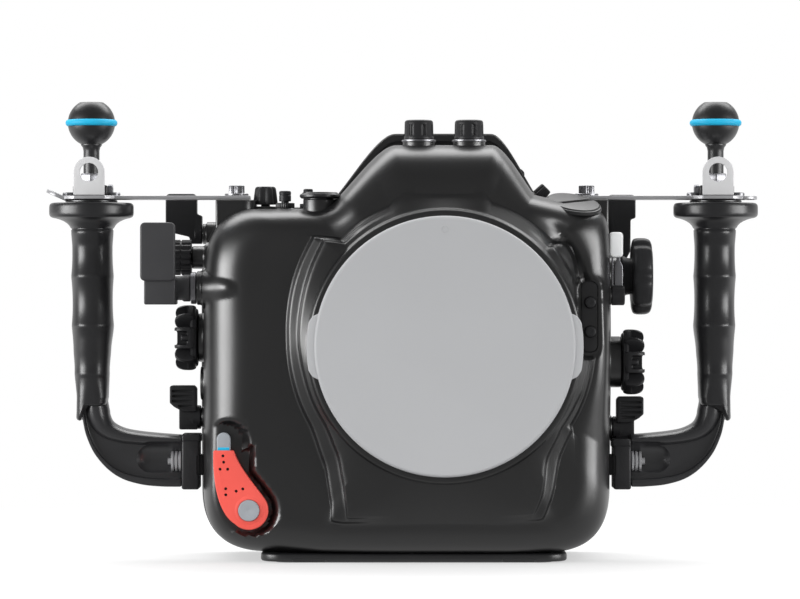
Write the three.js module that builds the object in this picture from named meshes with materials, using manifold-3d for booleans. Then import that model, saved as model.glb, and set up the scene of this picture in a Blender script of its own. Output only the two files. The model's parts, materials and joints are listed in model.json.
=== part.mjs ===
// Underwater camera housing: a front shell with a round port opening, a rear shell with its windows,
// two hand grips with ball mounts, and the knobs, levers, latches and buttons that work the camera.
// Millimetres. +Z is up, the port faces -Y, and +X is to the right of someone who looks at the port.
// The origin is on the ground, midway between the two grips.
import * as THREE from "three";
import { mergeVertices } from "three/addons/utils/BufferGeometryUtils.js";
import Module from "manifold-3d";

const wasm = await Module();
wasm.setup();

// Driving dimensions
const fit = {
  gap: 0.3, // air between neighbours
  overrun: 2, // how far a cutter passes the face that it cuts
  overlap: 1, // how far two shapes of one piece run into each other
  flat: 0.02,
  weld: 1e-4,
};
// Facets of round pieces
const sides = { large: 40, fine: 24, wheel: 20, round: 16, boss: 12, small: 8, tiny: 6 };
const base = { thickness: 5, left: 76, right: 87, front: 38, back: 46, corner: 14, chamfer: 1.2 };
const port = { x: 21.6, height: 115, bore: 60, rim: 11 };
const shell = {
  leftReach: 107,
  rightMargin: 17.4,
  shoulderRise: 73,
  crownMargin: 36,
  depth: 76,
  joint: 14,
  wall: 7,
  roundRun: 22,
  roundDepth: 30,
  rimProud: 3,
  rimFlare: 1.6,
  stepRun: 1.6,
};
const contour = {
  footRise: 7.5,
  footLeft: 55,
  footRight: 48,
  footFillet: 8,
  crownHalf: 25.5,
  topCornerRun: 28,
  topCornerDrop: 38,
  lowCorner: 33,
  rightCornerRun: 9,
  rightCornerDrop: 20,
};
const rear = {
  depth: 44,
  lip: 1.5,
  lipDepth: 8,
  wall: 6,
  back: 6,
  crownExtra: 5,
  roundRun: 12,
  roundDepth: 10,
};
const seal = { radius: 1.5, land: 3 };
const spindle = { radius: 3, past: 3 }; // the shaft of a control, and how far it stands out inside the wall

// The two handles: arm, grip, bracket, bolt, strip, lug and ball mount
const handle = {
  standoff: { left: 61, right: 58 }, // from the wall to the grip's axis
  y: -6,
  armHeight: 27.2,
  armDepth: 20,
  gripLift: 9.3,
  outer: 8.6,
  bend: 32,
  web: 6,
  flange: 3.4,
  rod: 6,
  headRadius: 14,
  head: 1.2,
};
const bracket = {
  from: 3.1,
  thickness: 8.8,
  below: 1.4,
  height: { left: 26.4, right: 23.6 },
  depth: 22,
  padHeight: 11,
  padDepth: 14,
};
const armBolt = { radius: 5.4, washer: 1.7, space: 1.1, count: 3, neck: 3.6, shank: 2.5, reach: 5, inset: 1 };
const grip = {
  half: 11.4,
  lowHalf: 9,
  front: 18,
  back: 14,
  swell: 1,
  scoop: 2.6,
  flangeRadius: 23,
  flangeHeight: 7.6,
  flare: 6,
  edge: 1.6,
};
const strip = {
  thickness: 2,
  width: 15,
  padWidth: 30,
  padHalf: 16,
  padCut: 3,
  tail: { left: 21, right: 23 },
  tabRise: { left: 5, right: 0 },
  tabRun: 8,
};
const lug = { width: 16.6, thickness: 2.5, rise: 20.6, hole: 4.95, inset: 0.5 };
const ball = {
  block: 18.5,
  blockHeight: 5.3,
  stem: 4.3,
  rise: 33.7,
  radius: 12.7,
  groove: 1.5,
  grooveHalf: 1.9,
  flat: 11.1,
  recess: 5,
  recessDepth: 2,
};
const ballRing = { section: 1.55 };
const latchNotch = { run: 8.5, depth: 6 }; // the right arm steps down under its latch

const rimRadius = port.bore + port.rim;
const floorZ = base.thickness + fit.gap;
const leftWall = -shell.leftReach;
const rightWall = port.x + rimRadius + shell.rightMargin;
const shoulderZ = port.height + shell.shoulderRise;
const crownZ = port.height + rimRadius + shell.crownMargin;
const rimFace = shell.joint - shell.depth;
const rearFront = shell.joint + fit.gap;
const rearBack = rearFront + rear.depth;

const finish = {
  anodised: { color: 0x1c1d20, roughness: 0.38, metalness: 0.6 },
  rubber: { color: 0x1b1c1e, roughness: 0.6, metalness: 0 },
  plastic: { color: 0x222326, roughness: 0.5, metalness: 0 },
  capGrey: { color: 0xb4b6b9, roughness: 0.55, metalness: 0 },
  buttonGrey: { color: 0x9fa3a8, roughness: 0.5, metalness: 0 },
  lever: { color: 0xff6257, roughness: 0.5, metalness: 0 },
  cyan: { color: 0x16b4e0, roughness: 0.45, metalness: 0 },
  steel: { color: 0xc9cbce, roughness: 0.3, metalness: 1 },
  window: { color: 0x9fb0b8, roughness: 0.08, metalness: 0 },
  board: { color: 0x1f5a3a, roughness: 0.6, metalness: 0 },
  sealRubber: { color: 0x101012, roughness: 0.7, metalness: 0 },
};
const materials = Object.fromEntries(
  Object.entries(finish).map(([name, look]) => [name, new THREE.MeshStandardMaterial({ name, ...look })]),
);

// Solids and booleans
function solid(source) {
  if (!source.isBufferGeometry) return source;
  const bare = source.index ? source.clone() : source;
  for (const name of Object.keys(bare.attributes)) if (name !== "position") bare.deleteAttribute(name);
  const merged = mergeVertices(bare, fit.weld);
  const wanted = [];
  for (let i = 0; i < merged.index.count; i += 3) {
    const [a, b, c] = [0, 1, 2].map((k) => merged.index.getX(i + k));
    if (a !== b && b !== c && c !== a) wanted.push(a, b, c);
  }
  const vertProperties = new Float32Array(merged.attributes.position.array);
  const bodyOf = (order) => {
    const triVerts = new Uint32Array(order);
    return new wasm.Manifold(new wasm.Mesh({ numProp: 3, vertProperties, triVerts }));
  };
  const made = bodyOf(wanted);
  return made.volume() > 0 ? made : bodyOf(wanted.reverse());
}

function join(...parts) {
  return parts.map(solid).reduce((a, b) => a.add(b));
}

function cut(body, ...cutters) {
  return cutters.map(solid).reduce((a, b) => a.subtract(b), solid(body));
}

function geometryOf(source) {
  const mesh = solid(source).asOriginal().simplify(fit.flat).getMesh();
  const geometry = new THREE.BufferGeometry();
  geometry.setAttribute("position", new THREE.BufferAttribute(new Float32Array(mesh.vertProperties), 3));
  geometry.setIndex(new THREE.BufferAttribute(new Uint32Array(mesh.triVerts), 1));
  geometry.computeVertexNormals();
  return geometry;
}

// Basic shapes, each in its own frame
function block(x0, x1, y0, y1, z0, z1) {
  const box = new THREE.BoxGeometry(x1 - x0, y1 - y0, z1 - z0);
  return box.translate((x0 + x1) / 2, (y0 + y1) / 2, (z0 + z1) / 2);
}

const turnTo = {
  x: (g) => g.rotateZ(-Math.PI / 2),
  y: (g) => g,
  z: (g) => g.rotateX(Math.PI / 2),
};

// A straight or tapered round bar from one place on an axis to another
function bar(axis, radius, from, to, count = sides.round, endRadius = radius) {
  const g = new THREE.CylinderGeometry(endRadius, radius, to - from, count).translate(0, (from + to) / 2, 0);
  return turnTo[axis](g);
}

// A turned shape: pairs of radius and place along the axis, closed on itself or on the axis
function turned(axis, profile, count = sides.round) {
  return turnTo[axis](new THREE.LatheGeometry(profile.map(([r, t]) => new THREE.Vector2(r, t)), count));
}

function roundedRect(width, height, corner) {
  const [w, h, r] = [width / 2, height / 2, Math.min(corner, width / 2.01, height / 2.01)];
  const s = new THREE.Shape();
  s.moveTo(-w + r, -h);
  s.lineTo(w - r, -h);
  s.absarc(w - r, -h + r, r, -Math.PI / 2, 0);
  s.lineTo(w, h - r);
  s.absarc(w - r, h - r, r, 0, Math.PI / 2);
  s.lineTo(-w + r, h);
  s.absarc(-w + r, h - r, r, Math.PI / 2, Math.PI);
  s.lineTo(-w, -h + r);
  s.absarc(-w + r, -h + r, r, Math.PI, Math.PI * 1.5);
  return s;
}

function scalloped(radius, depth, count) {
  const points = [];
  for (let i = 0; i < count * 2; i++) {
    const r = i % 2 ? radius - depth : radius;
    const a = (i * Math.PI) / count;
    points.push(new THREE.Vector2(r * Math.cos(a), r * Math.sin(a)));
  }
  return new THREE.Shape(points);
}

function extruded(shape, thickness, curve = 3, bevel = 0) {
  return new THREE.ExtrudeGeometry(shape, {
    depth: thickness - 2 * bevel,
    curveSegments: curve,
    bevelEnabled: bevel > 0,
    bevelThickness: bevel,
    bevelSize: bevel,
    bevelOffset: -bevel,
    bevelSegments: 1,
  }).translate(0, 0, bevel);
}

// A plate that faces the viewer: its outline is in X and Z, and it runs from y = -thickness to 0
function frontPlate(shape, thickness, curve, bevel) {
  return extruded(shape, thickness, curve, bevel).rotateX(Math.PI / 2);
}

// A plate that lies flat: its outline is in X and Y, and it stands on z = 0
function flatPlate(shape, thickness, curve, bevel) {
  return extruded(shape, thickness, curve, bevel);
}

// A plate that faces sideways: its outline is in Y and Z, and it runs from x = 0 to thickness
function sidePlate(shape, thickness, curve, bevel) {
  const turn = new THREE.Matrix4().makeBasis(
    new THREE.Vector3(0, 1, 0),
    new THREE.Vector3(0, 0, 1),
    new THREE.Vector3(1, 0, 0),
  );
  return extruded(shape, thickness, curve, bevel).applyMatrix4(turn);
}

// A closed skin over a grid of rings; a ring whose points all meet is a pole
function skin(rings, closed) {
  const points = rings.flat();
  const n = rings[0].length;
  const index = [];
  const last = closed ? rings.length : rings.length - 1;
  for (let i = 0; i < last; i++) {
    for (let j = 0; j < n; j++) {
      const a = i * n + j;
      const b = i * n + ((j + 1) % n);
      const c = ((i + 1) % rings.length) * n + j;
      const d = ((i + 1) % rings.length) * n + ((j + 1) % n);
      index.push(a, b, d, a, d, c);
    }
  }
  const geometry = new THREE.BufferGeometry().setFromPoints(points);
  geometry.setIndex(index);
  return geometry;
}

// The outline of the front shell in X and Z
function outlinePoints(crown) {
  const c = contour;
  const path = new THREE.Path();
  const footZ = shoulderZ + c.footRise;
  const [footL, footR] = [port.x - c.footLeft, port.x + c.footRight];
  const [crownL, crownR] = [port.x - c.crownHalf, port.x + c.crownHalf];
  const slope = { footShare: 0.35, footLift: 0.42, crownShare: 0.28 };
  const runL = c.footLeft - c.crownHalf;
  const runR = c.footRight - c.crownHalf;
  const rise = crown - footZ;
  path.moveTo(leftWall + c.lowCorner, floorZ);
  path.lineTo(rightWall - c.lowCorner, floorZ);
  path.quadraticCurveTo(rightWall, floorZ, rightWall, floorZ + c.lowCorner);
  path.lineTo(rightWall, shoulderZ - c.rightCornerDrop);
  path.quadraticCurveTo(rightWall, shoulderZ, rightWall - c.rightCornerRun, shoulderZ);
  path.lineTo(footR, footZ);
  path.bezierCurveTo(
    footR - slope.footShare * runR,
    footZ + slope.footLift * rise,
    crownR + slope.crownShare * runR,
    crown,
    crownR,
    crown,
  );
  path.lineTo(crownL, crown);
  path.bezierCurveTo(
    crownL - slope.crownShare * runL,
    crown,
    footL + slope.footShare * runL,
    footZ + slope.footLift * rise,
    footL,
    footZ,
  );
  const filletEnd = footL - c.footRise - c.footFillet;
  path.quadraticCurveTo(footL - 0.7 * c.footRise, shoulderZ, filletEnd, shoulderZ);
  path.lineTo(leftWall + c.topCornerRun, shoulderZ);
  path.quadraticCurveTo(leftWall, shoulderZ, leftWall, shoulderZ - c.topCornerDrop);
  path.lineTo(leftWall, floorZ + c.lowCorner);
  path.quadraticCurveTo(leftWall, floorZ, leftWall + c.lowCorner, floorZ);
  return path.getPoints(12);
}

// How far the outline is from the port's axis in a direction
function reachIn(points, angle) {
  const dir = [Math.cos(angle), Math.sin(angle)];
  let best = 0;
  for (let i = 0; i < points.length; i++) {
    const p = points[i];
    const q = points[(i + 1) % points.length];
    const e = [q.x - p.x, q.y - p.y];
    const o = [p.x - port.x, p.y - port.height];
    const cross = dir[0] * e[1] - dir[1] * e[0];
    if (Math.abs(cross) < 1e-9) continue;
    const along = (o[0] * e[1] - o[1] * e[0]) / cross;
    const share = (o[0] * dir[1] - o[1] * dir[0]) / cross;
    if (along > 0 && share >= -1e-9 && share <= 1 + 1e-9) best = Math.max(best, along);
  }
  return best;
}

// How the front face runs from the rim to the side wall in each direction from the port's axis, in degrees
// from +X towards +Z: shares of shell.roundRun, shell.roundDepth and shell.depth, then where the outer and
// inner steps lie between the rim and the rounding, and how strong the steps are.
const faceShares = [
  [0, 0.45, 0.5, 0.77, 0.8, 0.45, 0.6],
  [24, 0.45, 0.5, 0.77, 0.67, 0.4, 0.7],
  [33, 0.45, 0.5, 0.77, 0.48, 0.25, 0.8],
  [43, 0.55, 0.5, 0.77, 0.41, 0.22, 0.9],
  [57, 0.7, 0.7, 0.8, 0.97, 0.8, 0.3],
  [75, 1, 1, 0.84, 0.98, 0.9, 0],
  [105, 1, 1, 0.84, 0.98, 0.9, 0],
  [122, 0.7, 0.7, 0.82, 0.98, 0.9, 0.5],
  [136, 0.6, 0.55, 0.8, 0.9, 0.64, 1],
  [152, 1, 1, 0.79, 0.35, 0.22, 1],
  [174, 1, 1, 0.79, 0.31, 0.175, 1],
  [194, 1, 1, 0.79, 0.26, 0.08, 1],
  [209, 1, 1, 0.79, 0.19, 0.06, 1],
  [224, 0.9, 0.8, 0.79, 0.29, 0.135, 1],
  [234, 0.65, 0.5, 0.8, 0.57, 0.33, 1],
  [241, 0.6, 0.5, 0.82, 0.95, 0.75, 0.6],
  [255, 0.6, 0.5, 0.84, 0.98, 0.9, 0],
  [285, 0.6, 0.5, 0.84, 0.98, 0.9, 0],
  [298, 0.6, 0.5, 0.82, 0.95, 0.8, 0.5],
  [304, 0.6, 0.5, 0.8, 0.57, 0.46, 1],
  [316, 0.55, 0.5, 0.78, 0.33, 0.2, 1],
  [325, 0.55, 0.5, 0.77, 0.38, 0.17, 1],
  [334, 0.5, 0.5, 0.77, 0.52, 0.25, 1],
  [348, 0.4, 0.45, 0.77, 0.8, 0.45, 0.8],
  [360, 0.45, 0.5, 0.77, 0.8, 0.45, 0.6],
];
// Levels of the inner step's two edges and the outer step's two, of the fall from the rim to the face
const stepLevelShares = [0.55, 0.32, 0.24, 0.04];

function sharesAt(angle) {
  const degrees = (((angle * 180) / Math.PI) % 360 + 360) % 360;
  const i = faceShares.findIndex((row) => row[0] > degrees) - 1;
  const [low, high] = [faceShares[i], faceShares[i + 1]];
  const t = (degrees - low[0]) / (high[0] - low[0]);
  return low.map((v, k) => v + (high[k] - v) * t).slice(1);
}

// One section of the front shell: its outer line from the joint to the bore, as radius and y
function outerSection(angle, reach) {
  const [roundShare, depthShare, faceShare, outerShare, innerShare, step] = sharesAt(angle);
  const room = reach - rimRadius - shell.rimFlare;
  const run = Math.min(roundShare * shell.roundRun, room / 2);
  const faceY = shell.joint - faceShare * shell.depth;
  const startY = Math.min(faceY + depthShare * shell.roundDepth, shell.joint - shell.wall);
  const coneY = rimFace + shell.rimProud;
  const inner = rimRadius + shell.rimFlare;
  const flat = reach - run - inner;
  const stepRun = Math.min(shell.stepRun, 0.15 * flat);
  const rB = inner + Math.min(innerShare, 0.7) * (flat - 2 * stepRun);
  const rA = inner + stepRun + Math.min(outerShare, 0.95) * (flat - 2 * stepRun);
  const radii = [rB, rB + stepRun, rA, rA + stepRun];
  const levels = radii.map((r, i) => {
    const sloped = coneY + ((faceY - coneY) * (r - inner)) / flat;
    const stepped = faceY + (coneY - faceY) * stepLevelShares[i];
    return sloped + (stepped - sloped) * step;
  });
  const bend = [0.5, 0.866].map((s) => {
    const back = Math.sqrt(1 - s * s);
    return [reach - run * (1 - back), startY + (faceY - startY) * s];
  });
  return {
    run,
    startY,
    faceY,
    line: [
      [reach, shell.joint],
      [reach, startY],
      ...bend,
      [reach - run, faceY],
      [radii[3], levels[3]],
      [radii[2], levels[2]],
      [radii[1], levels[1]],
      [radii[0], levels[0]],
      [inner, coneY],
      [rimRadius, rimFace],
      [port.bore, rimFace],
    ],
  };
}

const shellSteps = 60;
const rearSteps = 52;
const frontOutline = outlinePoints(crownZ);
const rearOutline = outlinePoints(crownZ + rear.crownExtra);
const anglesOf = (count) => Array.from({ length: count }, (_, i) => ((i + 0.5) * 2 * Math.PI) / count);
const shellAngles = anglesOf(shellSteps);
const rearAngles = anglesOf(rearSteps);

// A body of revolution whose section may change with its direction from the port's axis
function aroundPort(sectionAt, angles = rearAngles) {
  const sections = angles.map(sectionAt);
  const rings = sections[0].map((_, k) =>
    sections.map((section, i) => {
      const [r, y] = section[k];
      return new THREE.Vector3(port.x + r * Math.cos(angles[i]), y, port.height + r * Math.sin(angles[i]));
    }),
  );
  return rings;
}

// The lobed knobs, the focus wheel and the latches fill the side walls from the focus wheel down to the arms
const lobed = { radius: 17.3, base: 4, height: 11.6, lobe: 3.3, count: 8, hub: 5.4, hubHeight: 7.6 };
const wheel = { radius: 20.6, thickness: 11.2, edge: 4.2, collar: 11.2, collarLength: 6, dish: 1.6 };
const latch = {
  hub: 6.6,
  bodyLength: 11.6,
  start: 2.2,
  thumbWidth: 14.4,
  thumbHeight: 14.2,
  thumbFoot: 3,
  corner: 2,
  edge: 0.6,
  depth: 12,
  ribs: 4,
  rib: 0.8,
  ribStart: 2,
  ribEnd: 1,
  claw: 3.2,
  clawHeight: 8,
  pinReach: 5,
};
const stack = {
  wheelToKnob: 8.3,
  knobToLatch: 1.4,
  latchToArm: 3.6,
  armToLatch: 9.6,
  latchToKnob: 8.5,
  pad: 18.5,
};
const latchTop = latch.thumbFoot + latch.thumbHeight;
const focusShare = 0.5082;
const focusZ = port.height + focusShare * shell.shoulderRise;
const rightKnobZ = focusZ - wheel.radius - stack.wheelToKnob - lobed.radius;
const rightLatchZ = rightKnobZ - lobed.radius - stack.knobToLatch - latchTop;
const armTop = rightLatchZ - stack.latchToArm;
const armLow = armTop - handle.armHeight;
const leftLatchZ = armTop + stack.armToLatch;
const leftKnobZ = leftLatchZ + latchTop + stack.latchToKnob + lobed.radius;

// Places on the shell that the controls share: y and height, with a round boss whose face is a reach outside
// the wall. The other upper controls keep their share of the way from the port's axis to the shoulder.
const sideControls = {
  shutter: { side: -1, y: -22, riseShare: 0.4205, boss: 9.4, reach: 3.4 },
  dial: { side: -1, y: 4, riseShare: 0.648, boss: 6.5, reach: 7.4 },
  leftKnob: { side: -1, y: 2, z: leftKnobZ, boss: 13.5, reach: 3.8 },
  leftPad: { side: -1, y: 0, z: leftLatchZ + stack.pad, boss: 9.5, reach: 2.4, blind: true },
  leftLatch: { side: -1, y: 4, z: leftLatchZ, boss: 6.4, reach: 2.2 },
  rightKnob: { side: 1, y: 2, z: rightKnobZ, boss: 14.2, reach: 7.4 },
  focus: { side: 1, y: -4, z: focusZ, boss: 11, reach: 6.8 },
  lensLever: { side: 1, y: -24, riseShare: 0.363, boss: 5, reach: 0.6 },
  rightLatch: { side: 1, y: 4, z: rightLatchZ, boss: 7.4, reach: 2.6 },
};
const rearControls = {
  leftThumb: { side: -1, y: 33, riseShare: 0.8288, boss: 6, reach: 3 },
  rightThumb: { side: 1, y: 33, riseShare: 0.6712, boss: 6, reach: 3 },
};
const heightOf = (c) => c.z ?? port.height + c.riseShare * shell.shoulderRise;
const wallOf = (side) => (side < 0 ? leftWall : rightWall);
const boreRadius = spindle.radius + fit.gap;
const latchPin = { boss: 2.6, aft: 13.5 }; // the catch on the rear shell that each latch hooks

function bossesOf(controls, wall) {
  const [added, bored] = [[], []];
  for (const c of Object.values(controls)) {
    const z = heightOf(c);
    const outer = wallOf(c.side) + c.side * c.reach;
    const inner = wallOf(c.side) - c.side * wall;
    const [low, high] = [Math.min(inner, outer), Math.max(inner, outer)];
    added.push(bar("x", c.boss, low, high, sides.boss).translate(0, c.y, z));
    const ends = [outer + c.side * fit.overrun, inner - c.side * 2 * wall].sort((a, b) => a - b);
    if (!c.blind) bored.push(bar("x", boreRadius, ends[0], ends[1], sides.small).translate(0, c.y, z));
  }
  return [added, bored];
}

// Controls on the top of the front shell: X from the port's axis, y, boss radius and rise above the shoulder
const topControls = {
  dial: { x: -95.9, y: -6, boss: 7.6, rise: 1.6, shaft: 2.4 },
  buttonA: { x: -85.1, y: -14, boss: 5, rise: 2.4, shaft: 2, head: 3.2, height: 5.6 },
  buttonB: { x: -73.2, y: 4, boss: 4.4, rise: 2.4, shaft: 2, head: 2.6, height: 7.2 },
};
const topButtonEdge = 0.8;
const topDial = { radius: 7, height: 10.4, lobe: 2.4, count: 6, crown: 1 };
const ear = {
  rise: 5,
  y: -6,
  depth: 30,
  height: 24,
  left: { from: 6.5, to: 24.8, screw: 17.2 },
  right: { from: 0.4, to: 17.5, screw: 11.5 },
};
const earTop = shoulderZ + ear.rise;
const screw = {
  shank: 2.5,
  sunk: 9,
  head: 4.15,
  headHeight: 4.4,
  flange: 6.4,
  flangeHeight: 0.9,
  socket: 1.8,
  bite: 0.4,
};
const plug = {
  radius: 10.8,
  thickness: 3.6,
  stem: 7.2,
  sunk: 5,
  slot: 1.3,
  slotDepth: 1.6,
  scallop: 0.5,
  count: 20,
  edge: 1,
  left: { x: -66.1, y: -27, boss: 9.2, rise: 4.8 },
  right: {
    x: 68.4,
    y: -27,
    rise: 0.2,
    boss: 14.8,
    foot: 9,
    bossLength: 18,
    radius: 15.34,
    tilt: 19,
    lean: 9,
  },
};
const bulkhead = {
  spread: 13.4,
  y: -20,
  radius: 8,
  height: 10.6,
  edge: 0.8,
  ring: 8.8,
  ringRise: 2.6,
  ringSink: 12,
  stem: 5,
  sunk: 7,
};
const slope = { x: 50.8, y: 0, lift: 3.4, angle: 45, boss: 4.6, bossLength: 12 };
const slopeButton = { radius: 3, height: 6.4, shaft: 1.7, edge: 0.8 };

// The pocket and lever of the port lock, placed from the left wall and the floor
const lock = {
  fromWall: 25.3,
  fromFloor: 22.9,
  head: 10.3,
  rise: 31.6,
  lean: 13.4,
  tip: 10.8,
  thickness: 6,
  edge: 0.6,
  capThickness: 1.4,
  pivot: 3.4,
  rim: 3.2,
  pocketDepth: 7.6,
  backing: 8,
  hollow: 13,
  faceShare: 0.79,
};
const lockX = leftWall + lock.fromWall;
const lockZ = floorZ + lock.fromFloor;
const lobeFace = shell.joint - lock.faceShare * shell.depth;
const pocketFloor = lobeFace + lock.pocketDepth;

// The outline of the lock lever round its pivot, grown outwards by a rim
function lockOutline(grow) {
  const s = new THREE.Shape();
  const head = lock.head + grow;
  const half = lock.tip / 2 + grow;
  const top = lock.rise + grow;
  const [from, to] = [(225 * Math.PI) / 180, (390 * Math.PI) / 180];
  s.moveTo(-lock.lean - half, top);
  s.bezierCurveTo(
    -lock.lean - 1.1 * half,
    0.5 * top,
    -lock.lean - 0.6 * half,
    -0.05 * top,
    head * Math.cos(from),
    head * Math.sin(from),
  );
  s.absarc(0, 0, head, from, to);
  s.bezierCurveTo(0.5 * head, 1.1 * head, -0.4 * lock.lean, 0.7 * top, -lock.lean + half, top);
  return s;
}

// The recess in the front that holds the two front buttons
const panel = {
  x: 76.6,
  rise: 15.5,
  width: 9.4,
  height: 38,
  corner: 4,
  rim: 1.5,
  plate: 1.2,
  depth: 2,
  y: -43.6,
  block: 6,
};
const frontButton = { radius: 3, proud: 2, shaft: 1.6, edge: 0.8, upper: 23, lower: 7.6, x: 0.4 };
const tray = { left: 50, right: 70, front: 16, back: 10, thickness: 4, lip: 6, lipHeight: 10 };
const board = {
  width: 40,
  depth: 20,
  thickness: 1.6,
  drop: 8,
  post: 2.4,
  postX: 14,
  cell: 5,
  cellLength: 14,
};

function frontHousing() {
  const section = (angle) => {
    const reach = reachIn(frontOutline, angle);
    const { run, startY, faceY, line } = outerSection(angle, reach);
    const innerY = faceY + shell.wall;
    return [
      ...line,
      [port.bore, innerY],
      [reach - run - shell.wall / 2, innerY],
      [reach - shell.wall, Math.max(startY, innerY + shell.wall / 2)],
      [reach - shell.wall, shell.joint],
    ];
  };
  const [added, bored] = bossesOf(sideControls, shell.wall);
  for (const [side, e] of [[-1, ear.left], [1, ear.right]]) {
    const xs = [wallOf(side) - side * e.from, wallOf(side) - side * e.to].sort((a, b) => a - b);
    const [earFront, earBack] = [ear.y - ear.depth / 2, ear.y + ear.depth / 2];
    added.push(block(xs[0], xs[1], earFront, earBack, earTop - ear.height, earTop));
    const [holeLow, holeTop] = [earTop - screw.sunk - fit.overrun, earTop + fit.overrun];
    const hole = bar("z", screw.shank + fit.gap, holeLow, holeTop, sides.small);
    bored.push(hole.translate(wallOf(side) - side * e.screw, ear.y, 0));
  }
  for (const c of Object.values(topControls)) {
    const boss = bar("z", c.boss, shoulderZ - shell.wall, shoulderZ + c.rise, sides.boss);
    added.push(boss.translate(port.x + c.x, c.y, 0));
    const hole = bar("z", c.shaft + fit.gap, shoulderZ - 2 * shell.wall, shoulderZ + shell.wall, sides.small);
    bored.push(hole.translate(port.x + c.x, c.y, 0));
  }
  const pl = plug.left;
  const seatZ = shoulderZ + pl.rise;
  added.push(bar("z", pl.boss, shoulderZ - shell.wall, seatZ).translate(port.x + pl.x, pl.y, 0));
  const stemHole = bar("z", plug.stem + fit.gap, seatZ - plug.sunk - fit.overrun, seatZ + fit.overrun);
  const clear = bar("z", plug.radius + fit.gap, seatZ, seatZ + 2 * shell.roundDepth);
  bored.push(stemHole.translate(port.x + pl.x, pl.y, 0), clear.translate(port.x + pl.x, pl.y, 0));
  const pr = plug.right;
  bored.push(tiltedPlug(bar("z", pr.radius + fit.gap, 0, 2 * shell.roundDepth, sides.fine)));
  added.push(tiltedPlug(bar("z", pr.foot, -pr.bossLength, 0, sides.round, pr.boss)));
  bored.push(tiltedPlug(bar("z", plug.stem + fit.gap, -plug.sunk - fit.overrun, fit.overrun)));
  for (const side of [-1, 1]) {
    const x = port.x + side * bulkhead.spread;
    const top = crownZ + bulkhead.ringRise;
    added.push(bar("z", bulkhead.ring, crownZ - bulkhead.ringSink, top).translate(x, bulkhead.y, 0));
    const low = top - bulkhead.sunk - fit.overrun;
    const hole = bar("z", bulkhead.stem + fit.gap, low, top + fit.overrun, sides.small);
    bored.push(hole.translate(x, bulkhead.y, 0));
  }
  added.push(onSlope(bar("z", slope.boss, -slope.bossLength, 0)));
  bored.push(onSlope(bar("z", slopeButton.radius + fit.gap, 0, 2 * slope.bossLength, sides.boss)));
  bored.push(onSlope(bar("z", slopeButton.shaft + fit.gap, -2 * slope.bossLength, fit.overrun, sides.small)));
  // The lock lever's pocket, with the wall thickened behind it, open towards the side
  const pocket = frontPlate(lockOutline(lock.rim), shell.depth, 4).translate(lockX, pocketFloor, lockZ);
  const catchPocket = bar("y", lock.hollow, pocketFloor - shell.depth, pocketFloor).translate(
    lockX - lock.lean,
    0,
    lockZ + lock.rise + lock.rim,
  );
  const sweep = block(
    leftWall - fit.overrun,
    lockX,
    pocketFloor - shell.depth,
    pocketFloor,
    lockZ - lock.head - 2 * fit.gap,
    lockZ + lock.rise,
  );
  const thick = frontPlate(lockOutline(lock.rim), lock.backing, 4);
  added.push(thick.translate(lockX, pocketFloor + lock.backing, lockZ));
  const boreBack = pocketFloor + 2 * lock.backing;
  const lockBore = bar("y", lock.pivot + fit.gap, pocketFloor - fit.overrun, boreBack, sides.small);
  bored.push(pocket, catchPocket, sweep, lockBore.translate(lockX, 0, lockZ));
  // The front button panel
  const px = port.x + panel.x;
  const pz = port.height + panel.rise;
  const surround = roundedRect(panel.width + 2 * panel.rim, panel.height + 2 * panel.rim, panel.corner);
  added.push(frontPlate(surround, panel.block).translate(px, panel.y + panel.block, pz));
  const recess = frontPlate(roundedRect(panel.width, panel.height, panel.corner), shell.depth);
  bored.push(recess.translate(px, panel.y + panel.depth, pz));
  for (const lift of [frontButton.upper, frontButton.lower]) {
    const hole = bar("y", frontButton.shaft + fit.gap, panel.y, panel.y + 3 * panel.block, sides.tiny);
    bored.push(hole.translate(px + frontButton.x, 0, port.height + lift));
  }
  const behind = block(2 * leftWall, 2 * rightWall, shell.joint, 2 * rearBack, -crownZ, 2 * crownZ);
  return cut(join(skin(aroundPort(section, shellAngles), true), ...added), ...bored, behind);
}

// The right plug leans to the viewer and outwards
function tiltedPlug(geometry) {
  const pr = plug.right;
  return geometry
    .rotateX((pr.tilt * Math.PI) / 180)
    .rotateY((pr.lean * Math.PI) / 180)
    .translate(port.x + pr.x, pr.y, shoulderZ + pr.rise);
}

function onSlope(geometry) {
  return geometry
    .rotateY((slope.angle * Math.PI) / 180)
    .translate(port.x + slope.x, slope.y, shoulderZ + slope.lift + contour.footRise / 2);
}

// Rear shell
const screen = { x: -3.6, drop: 23, width: 96, height: 70, corner: 7, thickness: 4, edge: 0.6, ledge: 5 };
const eyepiece = { rise: 67, bore: 16, foot: 22, hood: 24.5, length: 26, flare: 3, lens: 4 };
const rearButtons = {
  rear_button_focus: { x: -104, rise: 18, radius: 5 },
  rear_button_select: { x: -74, rise: -12, radius: 4 },
  rear_button_menu: { x: 66, rise: 18, radius: 4 },
};
const rearButton = { proud: 3, boss: 1.6, shaft: 2, edge: 1 };
const rearDial = { x: -88, drop: 46, radius: 17, thickness: 6, boss: 9, dish: 1.6, scallop: 0.8, count: 24 };
const joystick = { x: -74, rise: 14, radius: 5.4, height: 7, boss: 8 };
const viewLever = {
  x: 40.5,
  rise: 72,
  hub: 6,
  thickness: 4,
  width: 10.6,
  length: 25.4,
  corner: 2,
  edge: 0.6,
  boss: 6.5,
  bossHeight: 2,
};

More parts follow.
